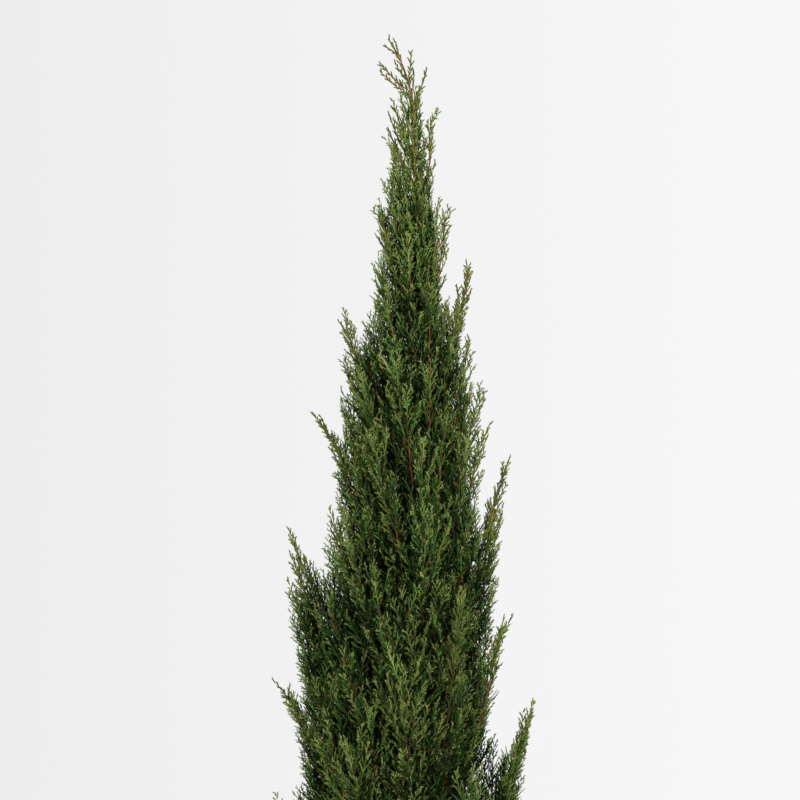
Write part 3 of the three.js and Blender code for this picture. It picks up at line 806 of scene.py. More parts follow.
def grow_branchlets(shoots, random):
    """Branchlets all along the shoots, longest near a shoot's foot."""
    size = shoots["size"]
    spacing = by_kind(BRANCHLET_SPACING, shoots["kind"])
    counts = np.maximum(BRANCHLET_FEWEST, np.round(size / spacing)).astype(int)
    grown = children(shoots["lines"], counts, BRANCHLET_FIRST, BRANCHLET_LAST, BRANCHLET_JITTER, random)
    index, order, share, points, along = grown
    total = len(order)
    kind = shoots["kind"][index]
    longest = np.minimum(BRANCHLET_LONGEST, by_kind(BRANCHLET_SHARE, kind) * size[index])
    profile = np.minimum(1, share / BRANCHLET_FULL_FROM) * (1 - share) ** BRANCHLET_TAPER_POWER
    length = BRANCHLET_SHORTEST + (longest - BRANCHLET_SHORTEST) * profile
    outer = ramp(from_middle(points), 1, OUTER_SPAN)
    length = length * random.uniform(*BRANCHLET_LENGTH_RANGE, total) * (1 - OUTER_SHORTER * outer)
    turn = index + order * math.pi + random.normal(0, BRANCHLET_TURN_SPREAD, total)
    lean = np.radians(by_kind(BRANCHLET_LEAN, kind)) * random.uniform(*LEAF_LEAN_RANGE, total)
    # Tone rises towards the shoot's tip: partly the real lighter fresh growth, partly painted shade at the
    # foot
    tone = shoots["tone"][index] + BRANCHLET_FOOT_TONE + BRANCHLET_TONE_RISE * share
    tone = tone + random.normal(0, BRANCHLET_TONE_SPREAD, total)
    hue = shoots["hue"][index] + HUE_ALONG_SHOOT * (share - 0.5) + random.normal(0, HUE_BY_BRANCHLET, total)
    thick = np.where(kind == "leader", LEADER_THICKNESS, 1 + OUTER_THICKER * outer)
    return {
        "lines": sprout(points, along, turn, lean, length, BRANCHLET_RISE, BRANCHLET_POINTS),
        "size": length,
        "tone": unless_ripe(shoots["tone"][index], tone),
        "hue": hue,
        "sparse": (kind == "top") & (length < TOP_SPRIG_FROM),
        "thick": np.where(kind == "top", TOP_THICKNESS, thick),
        "outer": outer,
    }


def grow_sprigs(branchlets, random):
    """Sprigs on both sides of every branchlet, shorter towards its tip."""
    size = branchlets["size"]
    counts = np.maximum(SPRIG_FEWEST, np.round(size * (1 - SPRIG_FIRST) / SPRIG_SPACING)).astype(int)
    counts[branchlets["sparse"]] = 0
    seen = ramp(from_middle(branchlets["lines"][:, -1]), *HIDDEN_SHARE)
    counts = np.ceil(counts * (HIDDEN_LEAST + (1 - HIDDEN_LEAST) * seen)).astype(int)
    grown = children(branchlets["lines"], counts, SPRIG_FIRST, SPRIG_LAST, SPRIG_JITTER, random)
    index, order, share, points, along = grown
    total = len(order)
    length = SPRIG_LENGTH * (1 - SPRIG_TAPER * share) * random.uniform(*SPRIG_LENGTH_RANGE, total)
    length = length * (1 - OUTER_SHORTER * branchlets["outer"][index])
    length = np.minimum(length, SPRIG_LONGEST_SHARE * size[index])
    turn = index + order * math.pi + random.normal(0, SPRIG_TURN_SPREAD, total)
    lean = SPRIG_LEAN * random.uniform(*LEAF_LEAN_RANGE, total)
    # Tone rises towards the branchlet's tip: partly the real lighter fresh growth, partly painted highlight
    tone = branchlets["tone"][index] + SPRIG_TONE_RISE * (share - SPRIG_TONE_MIDDLE)
    tone = tone + random.normal(0, SPRIG_TONE_SPREAD, total)
    return {
        "lines": sprout(points, along, turn, lean, length, SPRIG_RISE, 2),
        "tone": unless_ripe(branchlets["tone"][index], tone),
        "hue": branchlets["hue"][index] + random.normal(0, HUE_BY_SPRIG, total),
        "thick": branchlets["thick"][index],
        "roll": random.uniform(0, math.pi, total),
    }


def grow_old_twigs(plumes, random):
    """Short twigs that have lost their green, close along the inner part of every plume."""
    # Their near-black colour is partly their own dead wood and partly painted shade
    lines = plumes["lines"]
    counts = np.round(line_lengths(lines) * OLD_TWIG_LAST / OLD_TWIG_SPACING).astype(int)
    counts[: len(LEADER_TIPS)] = 0
    index, order = dealt(counts)
    points, along = at(lines, index, OLD_TWIG_LAST * (order + 0.5) / counts[index])
    length = random.uniform(*OLD_TWIG_LENGTH, len(order))
    length = length * np.clip(plumes["depth"][index] / OLD_TWIG_FULL_DEPTH, OLD_TWIG_LEAST, 1)
    lean = np.radians(random.uniform(*OLD_TWIG_LEAN, len(order)))
    twigs = sprout(points, along, index + order * GOLDEN_TURN, lean, length, OLD_TWIG_RISE, 2)
    tips = twigs[:, -1]
    return twigs[(from_middle(tips) < OLD_TWIG_REACH) & (tips[:, 2] > OLD_TWIG_LOWEST)]


# Painted light and shade: how much foliage stands between a spray and the open
def shade_by_cover(shoots, branchlets, sprigs):
    """Paints each spray's tone by how free it stands: painted shade in the crown, painted light at its tips.
    """
    grid = foliage_grid([branchlets, sprigs])
    for part in (shoots, branchlets, sprigs):
        points = part["lines"].mean(axis=1)
        free, freest = freedom(points, grid)
        # Painted light: least tones for the leader, the crown's edge and its notches
        down = (TREE_HEIGHT - points[:, 2]) / LEADER_LEAST_DOWN_TO
        least = LEADER_LEAST * np.minimum(1, 2 * (1 - down))
        least = np.maximum(least, EDGE_LEAST * ramp(from_middle(points), EDGE_FROM, EDGE_SPAN))
        least = np.maximum(least, NOTCH_LEAST * freest)
        base = np.maximum(part["tone"], BASE_LEAST - BASE_FALL * (1 - free))
        tone = np.maximum(base + FREE_LIFT * free, least + LEAST_SPREAD * base)
        part["free"] = free
        part["tone"] = unless_ripe(part["tone"], tone)


def foliage_grid(leaves):
    """How densely leaves fill a grid of cells round the crown: its low corner, shape and values."""
    middles = np.concatenate([part["lines"].mean(axis=1) for part in leaves])
    spans = np.concatenate([part["lines"][:, -1] - part["lines"][:, 0] for part in leaves])
    low = middles.min(axis=0) - COVER_CELL
    shape = np.ceil((middles.max(axis=0) - low) / COVER_CELL).astype(int) + 2
    cells = np.ravel_multi_index(((middles - low) / COVER_CELL).astype(int).T, shape)
    width = 2 * SPRIG_RADIUS / COVER_CELL**3
    return low, shape, np.bincount(cells, np.linalg.norm(spans, axis=1) * width, minlength=shape.prod())


def freedom(points, grid):
    """How free each point stands, from 0 to 1: over all its ways out, and on its freest way."""
    low, shape, cover = grid
    middle, _, _ = body_section(TREE_HEIGHT - points[:, 2])
    out = unit(np.stack([points[:, 0] - middle, points[:, 1], np.zeros(len(points))], axis=1))
    side = np.stack([-out[:, 1], out[:, 0], out[:, 2]], axis=1)
    found = []
    for aside, up in COVER_WAYS + NOTCH_WAYS:
        way = unit(out + aside * side + up * UP)
        depth = np.zeros(len(points))
        for away in np.arange(COVER_FIRST_CELL, COVER_REACH / COVER_CELL) * COVER_CELL:
            place = ((points + way * away - low) / COVER_CELL).astype(int)
            inside = ((place >= 0) & (place < shape)).all(axis=1)
            depth[inside] += COVER_CELL * cover[np.ravel_multi_index(place[inside].T, shape)]
        found.append(np.exp(-COVER_FALL * depth))
    return np.mean(found[: len(COVER_WAYS)], axis=0), np.max(found, axis=0)


# Meshes from arrays
def tube_faces(rings, sides, foot_closed):
    """Triangles of a tube whose points are its rings, its foot's middle if that is closed, and its top's."""
    low = np.arange(sides)
    after = (low + 1) % sides
    faces = []
    for ring in range(0, (rings - 1) * sides, sides):
        faces.append(np.stack([low, after, after + sides], axis=1) + ring)
        faces.append(np.stack([low, after + sides, low + sides], axis=1) + ring)
    last, middle = (rings - 1) * sides, rings * sides
    if foot_closed:
        faces.append(np.stack([after, low, np.full(sides, middle)], axis=1))
        middle += 1
    faces.append(np.stack([last + low, last + after, np.full(sides, middle)], axis=1))
    return np.concatenate(faces)


def repeated(faces, count, points):
    """The triangles of one shape again for each of so many shapes with that many points."""
    return (np.arange(count)[:, None, None] * points + np.asarray(faces)[None]).reshape(-1, 3)


def tubes(lines, radii, sides):
    """One round, pointed tube along each line, with an open foot."""
    count, points = lines.shape[:2]
    side, ahead = sideways(tangents(lines)[:, :1] * np.ones((1, points, 1)))
    angles = np.arange(sides) * FULL_TURN / sides
    ring = side[:, :-1, None] * np.cos(angles)[:, None] + ahead[:, :-1, None] * np.sin(angles)[:, None]
    body = lines[:, :-1, None] + ring * radii[:, :, None, None]
    vertices = np.concatenate([body.reshape(count, -1, 3), lines[:, -1:]], axis=1)
    faces = tube_faces(points - 1, sides, foot_closed=False)
    return vertices.reshape(-1, 3), repeated(faces, count, vertices.shape[1])


def blades(lines, radii, fold, end_share, rolls):
    """A narrow blade with a blunt end from each line's foot to its tip, folded, and rolled about the line."""
    foot, tip = lines[:, 0], lines[:, -1]
    side, ahead = sideways(unit(tip - foot))
    c, s = np.cos(rolls)[:, None], np.sin(rolls)[:, None]
    across, up = side * c + ahead * s, ahead * c - side * s
    section = [radii[:, None] * (across * x + up * y) for x, y in fold]
    corners = [foot + reach for reach in section] + [tip + end_share * reach for reach in section]
    n = len(fold)
    faces = [face for k in range(n - 1) for face in ([k, k + 1, n + k + 1], [k, n + k + 1, n + k])]
    return np.stack(corners, axis=1).reshape(-1, 3), repeated(faces, len(lines), 2 * n)


def joined(parts):
    """Several sets of vertices and triangles as one."""
    offset, vertices, triangles = 0, [], []
    for points, faces in parts:
        vertices.append(points)
        triangles.append(faces + offset)
        offset += len(points)
    return np.concatenate(vertices), np.concatenate(triangles)


def mesh_object(name, vertices, faces, material, smooth=True):
    """An object from vertices in metres and triangles."""
    mesh = bpy.data.meshes.new(name)
    mesh.vertices.add(len(vertices))
    mesh.vertices.foreach_set("co", np.asarray(vertices, np.float32).ravel())
    mesh.loops.add(faces.size)
    mesh.loops.foreach_set("vertex_index", np.asarray(faces, np.int32).ravel())
    mesh.polygons.add(len(faces))
    mesh.polygons.foreach_set("loop_start", np.arange(0, faces.size, 3, dtype=np.int32))
    mesh.polygons.foreach_set("use_smooth", np.full(len(faces), smooth))
    mesh.materials.append(material)
    mesh.update(calc_edges=True)
    mesh.validate()
    return linked(name, mesh)


def linked(name, data):
    """A new object with that data in the scene."""
    made = bpy.data.objects.new(name, data)
    bpy.context.scene.collection.objects.link(made)
    return made


def tree_object(name, vertices, faces, material):
    """An object from points in the tree's millimetres above the soil."""
    return mesh_object(name, (vertices + TREE_FOOT * UP) * MM, faces, material)


def dress(piece, slot, *nodes):
    """Rides the piece on the plant and lets it stand for the nodes."""
    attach(piece, BODY)
    if nodes:
        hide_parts(*nodes)


# Bark: the trunk, the boughs and the woody stretch of every plume and shoot
def trunk_radius(trunk):
    """Radius of the trunk along its line, with its flare at the roots."""
    steps = np.linalg.norm(np.diff(trunk, axis=0), axis=1)
    along = np.concatenate([[0], np.cumsum(steps)])
    taper = TRUNK_BASE_RADIUS + (TRUNK_TIP_RADIUS - TRUNK_BASE_RADIUS) * (along / along[-1])
    return taper + ROOT_FLARE * np.exp(-along / ROOT_FLARE_HEIGHT)


def bark_tube(line, radius, relief, phase):
    """A closed tube with shallow fibrous ridges that wander up it, and flakes across them."""
    sides, ridges, depth = relief
    side, ahead = sideways(tangents(line[None])[0])
    height = np.linspace(0, 1, len(line))[:, None]
    angle = np.arange(sides)[None] * FULL_TURN / sides
    twist = 0.5 * np.sin(9 * height + phase) + 0.3 * np.sin(23 * height + 2 * phase)
    fibre = np.sin(ridges * angle + 6 * twist) * 0.6 + np.sin((ridges + 4) * angle - 9 * twist + phase) * 0.4
    flake = np.sin(90 * height + 3 * np.sin(5 * angle + phase)) * np.sin((ridges - 2) * angle + phase)
    reach = radius[:, None] * (1 + depth * fibre + depth * 0.5 * flake)
    points = line[:, None] + side[:, None] * (np.cos(angle) * reach)[..., None]
    points = points + ahead[:, None] * (np.sin(angle) * reach)[..., None]
    vertices = np.concatenate([points.reshape(-1, 3), line[:1], line[-1:]])
    return vertices, tube_faces(len(line), sides, foot_closed=True)


def make_bark(tree, materials, frame):
    """The trunk with its relief, the boughs, and the woody stems that go on from them."""
    trunk, plumes, shoots, old = tree["trunk"], tree["plumes"], tree["shoots"], tree["old_twigs"]
    bark = bark_tube(trunk, trunk_radius(trunk), TRUNK_RELIEF, TRUNK_PHASE)
    dress(tree_object("trunk_bark", *bark, materials["bark"]), "bark", "trunk")

    stems, boughs = [], []
    for k, line in enumerate(plumes["lines"]):
        thick = BOUGH_RADIUS_TOP + BOUGH_RADIUS_GROWTH * plumes["depth"][k]
        thick *= STEM_SLIMNESS if k else 1
        radius = thick + (STEM_TIP_RADIUS - thick) * np.linspace(0, 1, len(line))
        bare = int(round(plumes["bare"][k] * (len(line) - 1)))
        end = int((STEM_BARE_SHARE if bare else STEM_SEEN_SHARE) * len(line))
        if bare:
            boughs.append(bark_tube(line[: bare + 1], radius[: bare + 1], BOUGH_RELIEF, k))
        stems.append(bark_tube(line[bare:end:STEM_STEP], radius[bare:end:STEM_STEP], STEM_RELIEF, k))
    names = sorted(n for n in frame["nodes"] if n.startswith("bough"))
    dress(tree_object("bough_bark", *joined(boughs), materials["bark"]), "bark", *names)
    dress(tree_object("plume_stems", *joined(stems), materials["plume_stems"]), "bark")

    lines = stretch(shoots["lines"][shoots["kind"] != "end"], 0, WOODY_SHARE, WOODY_POINTS)
    taper = np.linspace(SHOOT_RADIUS, WOODY_END_SHARE * SHOOT_RADIUS, WOODY_POINTS - 1)
    wood = tubes(lines, taper[None] * np.ones((len(lines), 1)), SHOOT_SIDES)
    dress(tree_object("shoot_wood", *wood, materials["stems"]), "bark")
    twigs = tubes(old, np.full((len(old), 1), OLD_TWIG_RADIUS), SHOOT_SIDES)
    dress(tree_object("old_twigs", *twigs, materials["old_twigs"]), "bark")


# Foliage: green shoot ends, branchlets and sprigs, dealt out by spray to tones that carry painted light and
# shade
def make_foliage(tree, materials, frame):
    """All leafy pieces, one for each tone and hue, split where one would be too large."""
    shoots, branchlets, sprigs = tree["shoots"], tree["branchlets"], tree["sprigs"]
    levels = np.append(np.linspace(*TONE_LEVELS, len(FOLIAGE_TONES) - 3), RIPE_LEVELS)
    masses = sorted(n for n in frame["nodes"] if n.startswith(("plume", "leader")))
    for level, (tone, *_) in enumerate(FOLIAGE_TONES):
        for browner, hue in enumerate(HUES):
            ends = chosen(shoots, SHOOT_TONE_LIFT, levels, level, browner)
            leaves = chosen(branchlets, 0, levels, level, browner)
            finest = chosen(sprigs, 0, levels, level, browner)
            flat = np.zeros(len(leaves["lines"]))
            leaf_radii, finest_radii = BRANCHLET_RADIUS * leaves["thick"], SPRIG_RADIUS * finest["thick"]
            parts = [
                leafy_ends(ends),
                blades(leaves["lines"], leaf_radii, BRANCHLET_FOLD, BRANCHLET_END_SHARE, flat),
                blades(finest["lines"], finest_radii, SPRIG_FOLD, SPRIG_END_SHARE, finest["roll"]),
            ]
            name = f"foliage_{tone}_{hue}"
            for number, (vertices, faces) in enumerate(split(joined(parts))):
                piece = tree_object(f"{name}_{number + 1}", vertices, faces, materials[name])
                dress(piece, "foliage", *masses)


def chosen(sprays, lift, levels, level, browner):
    """The sprays that have that level of tone, once lifted, and that hue."""
    some = (np.digitize(sprays["tone"] + lift, levels) == level) & ((sprays["hue"] > 0) == bool(browner))
    return {name: values[some] for name, values in sprays.items()}


def leafy_ends(shoots):
    """The leafy stretch of each shoot, which swells a little and ends in a point."""
    radius = SHOOT_RADIUS * np.where(shoots["kind"] == "top", LEAFY_TOP_RADIUS, LEAFY_RADIUS)
    shares = np.linspace(0, 1, LEAFY_POINTS)[:-1]
    swell = (0.86 + 0.3 * np.sin(math.pi * shares)) * (1 - 0.25 * shares)
    lines = stretch(shoots["lines"], WOODY_SHARE, 1, LEAFY_POINTS)
    return tubes(lines, radius[:, None] * swell[None], SHOOT_SIDES)


def split(part):
    """A set of vertices and triangles as pieces that each stay under the limit."""
    vertices, faces = part
    found = []
    for some in np.array_split(faces, max(1, math.ceil(len(faces) / PIECE_TRIANGLES))):
        used, corners = np.unique(some, return_inverse=True)
        found.append((vertices[used], corners.reshape(some.shape)))
    return found


# Pot: turned on a wheel, with a banded rim and drain holes
def pot_profile():
    """The wall from the underside's middle out, up and over the rim, and down inside."""
    base, shoulder, rim = POT_BASE_RADIUS, POT_SHOULDER_RADIUS, POT_RIM_RADIUS
    band, inside = rim - POT_RIM_DRAFT, rim - POT_WALL - POT_EDGE
    top, brim, lip = POT_HEIGHT, POT_HEIGHT - POT_EDGE, POT_SHOULDER + POT_EDGE
    outline = [(0, 0), *((radius, 0) for radius in POT_FLOOR_RINGS), (base - POT_EDGE, 0)]
    outline += corner((base - POT_EDGE, 0), (base, 0), (base, POT_EDGE))
    outline += steps((base, POT_EDGE), (shoulder, POT_SHOULDER), POT_WALL_STEPS)
    outline += corner((shoulder, POT_SHOULDER), (band, POT_SHOULDER), (band, lip))
    outline += steps((band, lip), (rim, brim), POT_BAND_STEPS)
    outline += corner((rim, brim), (rim, top), (rim - POT_EDGE, top))
    outline += [(rim - POT_WALL, top)]
    outline += corner((rim - POT_WALL, top), (inside, top), (inside, brim))
    bend = (inner_radius(POT_SHOULDER), POT_SHOULDER)
    outline += steps((inside, brim), bend, POT_RIM_STEPS)
    outline += steps(bend, (inner_radius(POT_FLOOR), POT_FLOOR), POT_INSIDE_STEPS)
    outline += [*((radius, POT_FLOOR) for radius in reversed(POT_FLOOR_RINGS)), (0, POT_FLOOR)]
    return np.array(outline, float)


def corner(a, b, c):
    """A rounded corner from a to c round b, without a."""
    return [tuple(point) for point in quadratic(a, b, c, POT_CORNER_POINTS)[1:]]


def steps(a, b, count):
    """Points from a to b, without a."""
    return [tuple(point) for point in np.linspace(a, b, count + 1)[1:]]


def inner_radius(height):
    """Radius of the pot's inner wall at a height."""
    return POT_BASE_RADIUS + (POT_SHOULDER_RADIUS - POT_BASE_RADIUS) * height / POT_SHOULDER - POT_WALL


def turned(profile, sides):
    """A profile turned about the upright axis. It starts and ends on the axis."""
    angle = np.arange(sides) * FULL_TURN / sides
    profile = np.array(profile, float)
    rings = profile[1:-1]
    circle = np.stack([np.cos(angle), np.sin(angle), np.zeros(sides)], axis=1)
    body = rings[:, None, :1] * circle[None] + UP * rings[:, None, 1:]
    middles = profile[[0, -1], 1:] * UP
    return np.concatenate([body.reshape(-1, 3), middles]), tube_faces(len(rings), sides, foot_closed=True)


def make_pot(materials):
    """The clay pot with faint turning lines, a slight wobble and its drain holes."""
    vertices, faces = turned(pot_profile(), POT_SIDES)
    radius = np.linalg.norm(vertices[:, :2], axis=1)
    height = vertices[:, 2]
    angle = np.arctan2(vertices[:, 1], vertices[:, 0])
    wave = 0.16 * np.sin(height * 1.15) + 0.22 * np.sin(height * 0.31 + 2 * np.sin(angle))
    wobble = 0.35 * np.sin(2 * angle + 0.7) + 0.2 * np.sin(3 * angle + height * 0.02)
    outside = (radius > POT_BASE_RADIUS) & (height > POT_EDGE)
    vertices[outside, :2] *= (1 + (wave - POT_DRAWN_IN + wobble) / np.maximum(radius, 1))[outside, None]
    pot = mesh_object("pot_clay", vertices * MM, faces, materials["clay"])
    vertices, faces = drain_plugs()
    drill(pot, mesh_object("drain_plugs", vertices * MM, faces, materials["clay"]))
    dress(pot, "clay", "pot")


def drain_plugs():
    """A plug for every drain hole."""
    reach = 1.5 * POT_FLOOR
    profile = [(0, -reach), (DRAIN_RADIUS, -reach), (DRAIN_RADIUS, reach), (0, reach)]
    plug, faces = turned(profile, DRAIN_SIDES)
    turns = [math.pi / 2 + k / DRAIN_COUNT * FULL_TURN for k in range(DRAIN_COUNT)]
    places = [(DRAIN_CIRCLE * math.cos(turn), DRAIN_CIRCLE * math.sin(turn), 0) for turn in turns]
    return joined([(plug + place, faces) for place in places])


def drill(piece, plugs):
    """Cuts the plugs out of the piece and removes them."""
    cut = piece.modifiers.new("drain", "BOOLEAN")
    cut.operation = "DIFFERENCE"
    cut.object = plugs
    cut.solver = "EXACT"
    graph = bpy.context.evaluated_depsgraph_get()
    made = bpy.data.meshes.new_from_object(piece.evaluated_get(graph))
    piece.modifiers.clear()
    piece.data = made
    bpy.data.objects.remove(plugs)


# Soil: a lumpy fill with crumbs, bark chips and a few pale grains on it
def lumps(x, y):
    """Height of the soil's lumps at a place, from a few crossing waves."""
    broad = np.sin(x * 0.11 + 1.3) * np.sin(y * 0.13 + 0.4) + 0.7 * np.sin(x * 0.23 - y * 0.19)
    fine = np.sin(x * 0.61 + 0.5 * y) * np.sin(y * 0.67 - 0.3 * x + 1)
    finest = 0.6 * np.sin(1.3 * x) * np.sin(1.1 * y + 2)
    return 1.3 * broad + 0.8 * (fine + finest)


def soil_height(x, y):
    """Height of the soil's surface at a place."""
    radius = np.hypot(x, y)
    edge = inner_radius(POT_SHOULDER) - SEAT_GAP
    fall = ramp(radius, SOIL_LEVEL_RADIUS, edge - SOIL_LEVEL_RADIUS)
    return SOIL_TOP - SOIL_DISH * fall + lumps(x, y) * ramp(radius, LUMPS_FROM, LUMPS_SPAN)


def make_soil(materials):
    """The fill with its lumps, and what lies on it."""
    foot = POT_FLOOR + SEAT_GAP
    edge = inner_radius(POT_SHOULDER) - SEAT_GAP
    profile = [(0, foot), (inner_radius(foot) - SEAT_GAP, foot), (edge, POT_SHOULDER)]
    profile += [(edge, SOIL_TOP - SOIL_DISH - SOIL_SIDE_BELOW)]
    profile += [(edge * (1 - k / SOIL_RINGS), SOIL_TOP) for k in range(1, SOIL_RINGS)] + [(0, SOIL_TOP)]
    vertices, faces = turned(profile, SOIL_SIDES)
    top = vertices[:, 2] > SOIL_TOP - SOIL_DISH
    vertices[top, 2] = soil_height(vertices[top, 0], vertices[top, 1])
    dress(mesh_object("soil_fill", vertices * MM, faces, materials["soil"]), "soil", "soil")
    random = np.random.default_rng(SEED + 1)
    for name, count, lengths, flatness in SOIL_BITS:
        points, faces = scatter(random, count, lengths, flatness, edge - BITS_INSET)
        dress(mesh_object(f"soil_{name}", points * MM, faces, materials[name], smooth=False), "soil")


def scatter(random, count, lengths, flatness, reach):
    """Small irregular blocks of twelve faces each, lying on the soil."""
    radius = np.sqrt(random.uniform((BITS_FROM / reach) ** 2, 1, count)) * reach
    angle = random.uniform(0, FULL_TURN, count)
    x, y = radius * np.cos(angle), radius * np.sin(angle)
    length = random.uniform(*lengths, count)
    width = length * random.uniform(*BIT_WIDTH, count)
    tall = width * random.uniform(*flatness, count)
    turn = random.uniform(0, FULL_TURN, count)
    flat = [(-0.5, -0.5), (0.5, -0.5), (0.5, 0.5), (-0.5, 0.5)]
    block = np.array([(*place, level) for level in (-0.5, 0.5) for place in flat])
    shape = block[None] * np.stack([length, width, tall], axis=1)[:, None]
    shape = shape * random.uniform(*BIT_RAGGEDNESS, shape.shape)
    shape[:, :, 2] += shape[:, :, 0] * random.normal(0, BIT_SLANT, count)[:, None]
    c, s = np.cos(turn)[:, None], np.sin(turn)[:, None]
    along, across, up = shape[..., 0], shape[..., 1], shape[..., 2]
    placed = np.stack([along * c - across * s, along * s + across * c, up], axis=2)
    placed += np.stack([x, y, soil_height(x, y) + tall * BIT_LIFT], axis=1)[:, None]
    faces = [[0, 2, 1], [0, 3, 2], [4, 5, 6], [4, 6, 7]]
    for k in range(4):
        after = (k + 1) % 4
        faces += [[k, after, after + 4], [k, after + 4, k + 4]]
    return placed.reshape(-1, 3), repeated(faces, count, len(block))


# Materials
def linear(colour):
    """An sRGB colour of 0 to 255 as a linear colour with full alpha."""
    share = np.array(colour, float) / 255
    low, high = share / 12.92, ((share + 0.055) / 1.055) ** 2.4
    return (*np.where(share <= 0.04045, low, high), 1.0)


def plain(name, colour, roughness, shine):
    """A material whose colour is the same all over."""
    material = bpy.data.materials.new(name)
    material.use_nodes = True
    shader = material.node_tree.nodes["Principled BSDF"]
    shader.inputs["Base Color"].default_value = linear(colour)
    shader.inputs["Roughness"].default_value = roughness
    shader.inputs["Specular IOR Level"].default_value = shine
    return material


def add_node(tree, kind, inputs, **settings):
    """A new node, each input set to a value or linked to another node's output."""
    node = tree.nodes.new(f"ShaderNode{kind}")
    for name, value in settings.items():
        setattr(node, name, value)
    for key, value in inputs.items():
        if isinstance(value, bpy.types.NodeSocket):
            tree.links.new(value, node.inputs[key])
        else:
            node.inputs[key].default_value = value
    return node


def add_noise(tree, vector, scale, detail=6.0):
    """A noise over the surface, as a value from 0 to 1."""
    return add_node(tree, "TexNoise", {"Vector": vector, "Scale": scale, "Detail": detail}).outputs["Fac"]


def add_shades(tree, value, colours):
    """A colour for every value, from shades spread over the middle of a noise's range."""
    ramp = add_node(tree, "ValToRGB", {"Fac": value})
    stops = ramp.color_ramp.elements
    for k, (spot, colour) in enumerate(zip(np.linspace(*SHADE_RANGE, len(colours)), colours)):
        stop = stops[k] if k < 2 else stops.new(spot)
        stop.position = spot
        stop.color = linear(colour)
    return ramp.outputs["Color"]


def add_range(tree, value, source, target):
    """A value moved from one range to another."""
    limits = {"From Min": source[0], "From Max": source[1], "To Min": target[0], "To Max": target[1]}
    return add_node(tree, "MapRange", {"Value": value, **limits}).outputs["Result"]


def add_mix(tree, share, first, second):
    """Two colours mixed by a share."""
    return add_node(tree, "Mix", {0: share, 6: first, 7: second}, data_type="RGBA").outputs[2]


def add_product(tree, first, second):
    """The product of two values."""
    return add_node(tree, "Math", {0: first, 1: second}, operation="MULTIPLY").outputs["Value"]


def add_bump(tree, height, strength, distance):
    """Small relief from a value."""
    inputs = {"Height": height, "Strength": strength, "Distance": distance * MM}
    shade(tree, "Normal", add_node(tree, "Bump", inputs).outputs["Normal"])


def shade(tree, name, value):
    """Links a value to an input of the material's shader."""
    tree.links.new(value, tree.nodes["Principled BSDF"].inputs[name])


def surface_place(tree, stretch_by=EVEN):
    """The place on the surface in the plant's own frame, stretched, and its height above the floor."""
    place = add_node(tree, "TexCoord", {}).outputs["Object"]
    stretched = add_node(tree, "Mapping", {"Vector": place, "Scale": stretch_by}).outputs["Vector"]
    return stretched, add_node(tree, "SeparateXYZ", {"Vector": place}).outputs["Z"]


def grained(name, colours, roughness, scale, stretch_by, bump):
    """A material whose colour runs through a few shades by a noise, with relief from a finer one."""
    material = plain(name, colours[0], roughness, GRAIN_SHINE)
    tree = material.node_tree
    vector, _ = surface_place(tree, stretch_by)
    shade(tree, "Base Color", add_shades(tree, add_noise(tree, vector, scale), colours))
    add_bump(tree, add_noise(tree, vector, scale * GRAIN_FINER), bump, GRAIN_DEPTH)
    return material


def clay_material():
    """Fired clay: a fine mottle, pale bloom in patches and above the foot, and a matt grain."""
    material = plain("clay", CLAY_SHADES[1], roughness=0.88, shine=0.25)
    tree = material.node_tree
    vector, height = surface_place(tree)
    mottle = add_noise(tree, vector, scale=130, detail=12)
    bloom = add_shades(tree, mottle, CLAY_BLOOM)
    patches = add_range(tree, add_noise(tree, vector, scale=17, detail=10), (0.52, 0.72), (0.0, 0.45))
    colour = add_mix(tree, patches, add_shades(tree, mottle, CLAY_SHADES), bloom)
    low = add_range(tree, height, (0.005, 0.075), (0.9, 0.0))
    ragged = add_range(tree, add_noise(tree, vector, scale=38), (0.35, 0.65), (0.0, 1.0))
    shade(tree, "Base Color", add_mix(tree, add_product(tree, low, ragged), colour, bloom))
    grain = add_noise(tree, vector, scale=700, detail=4)
    shade(tree, "Roughness", add_range(tree, grain, (0.3, 0.7), (0.8, 0.96)))
    add_bump(tree, grain, strength=0.35, distance=0.3)
    return material


def bark_material():
    """Fibrous bark: grey-brown strands below, orange-brown ones on the young top of the stem."""
    material = plain("bark", BARK_SHADES[1], roughness=0.9, shine=0.2)
    tree = material.node_tree
    vector, height = surface_place(tree, UPRIGHT)
    strands = add_noise(tree, vector, scale=300, detail=7)
    old, young = add_shades(tree, strands, BARK_SHADES), add_shades(tree, strands, YOUNG_BARK_SHADES)
    shade(tree, "Base Color", add_mix(tree, add_range(tree, height, (0.7, 1.15), (0.0, 1.0)), old, young))
    add_bump(tree, add_noise(tree, vector, scale=900, detail=5), strength=0.8, distance=0.6)
    return material


def make_materials():
    """Every finish of the plant and its pot."""
    made = {"clay": clay_material(), "bark": bark_material()}
    for name, finish in GRAINED.items():
        made[name] = grained(name, *finish)
    for tone, *colours in FOLIAGE_TONES:
        for hue, colour in zip(HUES, colours):
            name = f"foliage_{tone}_{hue}"
            made[name] = plain(name, colour, LEAF_ROUGHNESS, LEAF_SHINE)
    return made


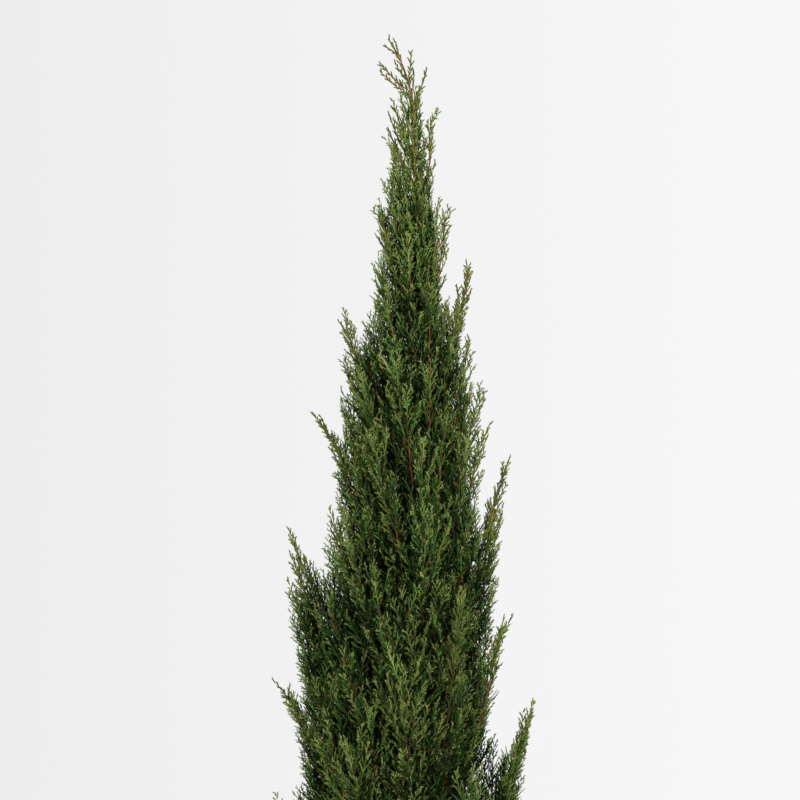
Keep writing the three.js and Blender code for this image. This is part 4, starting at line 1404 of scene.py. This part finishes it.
# Stage: floor, light and camera
def make_stage():
    """A pale floor, a pale surrounding that is a little darker on the left, and soft lamps."""
    angle = np.arange(FLOOR_SIDES) * FULL_TURN / FLOOR_SIDES
    ring = np.stack([np.cos(angle), np.sin(angle), np.zeros(FLOOR_SIDES)], axis=1) * FLOOR_RADIUS
    faces = tube_faces(1, FLOOR_SIDES, foot_closed=False)
    grey = plain("floor", FLOOR_GREY, roughness=0.9, shine=0.2)
    mesh_object("floor", np.concatenate([ring, [[0, 0, 0]]]), faces, grey)

    world = bpy.data.worlds.new("studio")
    bpy.context.scene.world = world
    world.use_nodes = True
    tree = world.node_tree
    place = add_node(tree, "TexCoord", {}).outputs["Generated"]
    across = add_node(tree, "SeparateXYZ", {"Vector": place}).outputs["X"]
    back = tree.nodes["Background"]
    tree.links.new(add_range(tree, across, BACKGROUND_SPAN, BACKGROUND_SHADES), back.inputs["Color"])
    back.inputs["Strength"].default_value = 1.0
    soft = add_node(tree, "Background", {"Color": (1.0, 1.0, 1.0, 1.0), "Strength": ROUND_LIGHT})
    seen = add_node(tree, "LightPath", {}).outputs["Is Camera Ray"]
    choose = add_node(tree, "MixShader", {"Fac": seen, 1: soft.outputs[0], 2: back.outputs[0]})
    tree.links.new(choose.outputs["Shader"], tree.nodes["World Output"].inputs["Surface"])
    for lamp in LAMPS:
        soft_lamp(*lamp)


def soft_lamp(name, place, size, power):
    """A square lamp that looks at the middle of the tree."""
    data = bpy.data.lights.new(name, "AREA")
    data.size = size
    data.energy = power
    lamp = linked(name, data)
    lamp.location = place
    lamp.rotation_euler = (Vector(LAMP_TARGET) - Vector(place)).to_track_quat("-Z", "Y").to_euler()


def make_camera():
    """A level camera far enough away that one frame spans the photograph's view at the trunk."""
    data = bpy.data.cameras.new("camera")
    data.sensor_width = SENSOR
    data.lens = SENSOR * VIEW_DISTANCE / VIEW_SPAN
    camera = linked("camera", data)
    camera.location = (VIEW_CENTRE[0] * MM, -VIEW_DISTANCE * MM, VIEW_CENTRE[1] * MM)
    camera.rotation_euler = (math.pi / 2, 0, 0)
    bpy.context.scene.camera = camera
    bpy.context.scene.view_settings.view_transform = "Standard"


main()
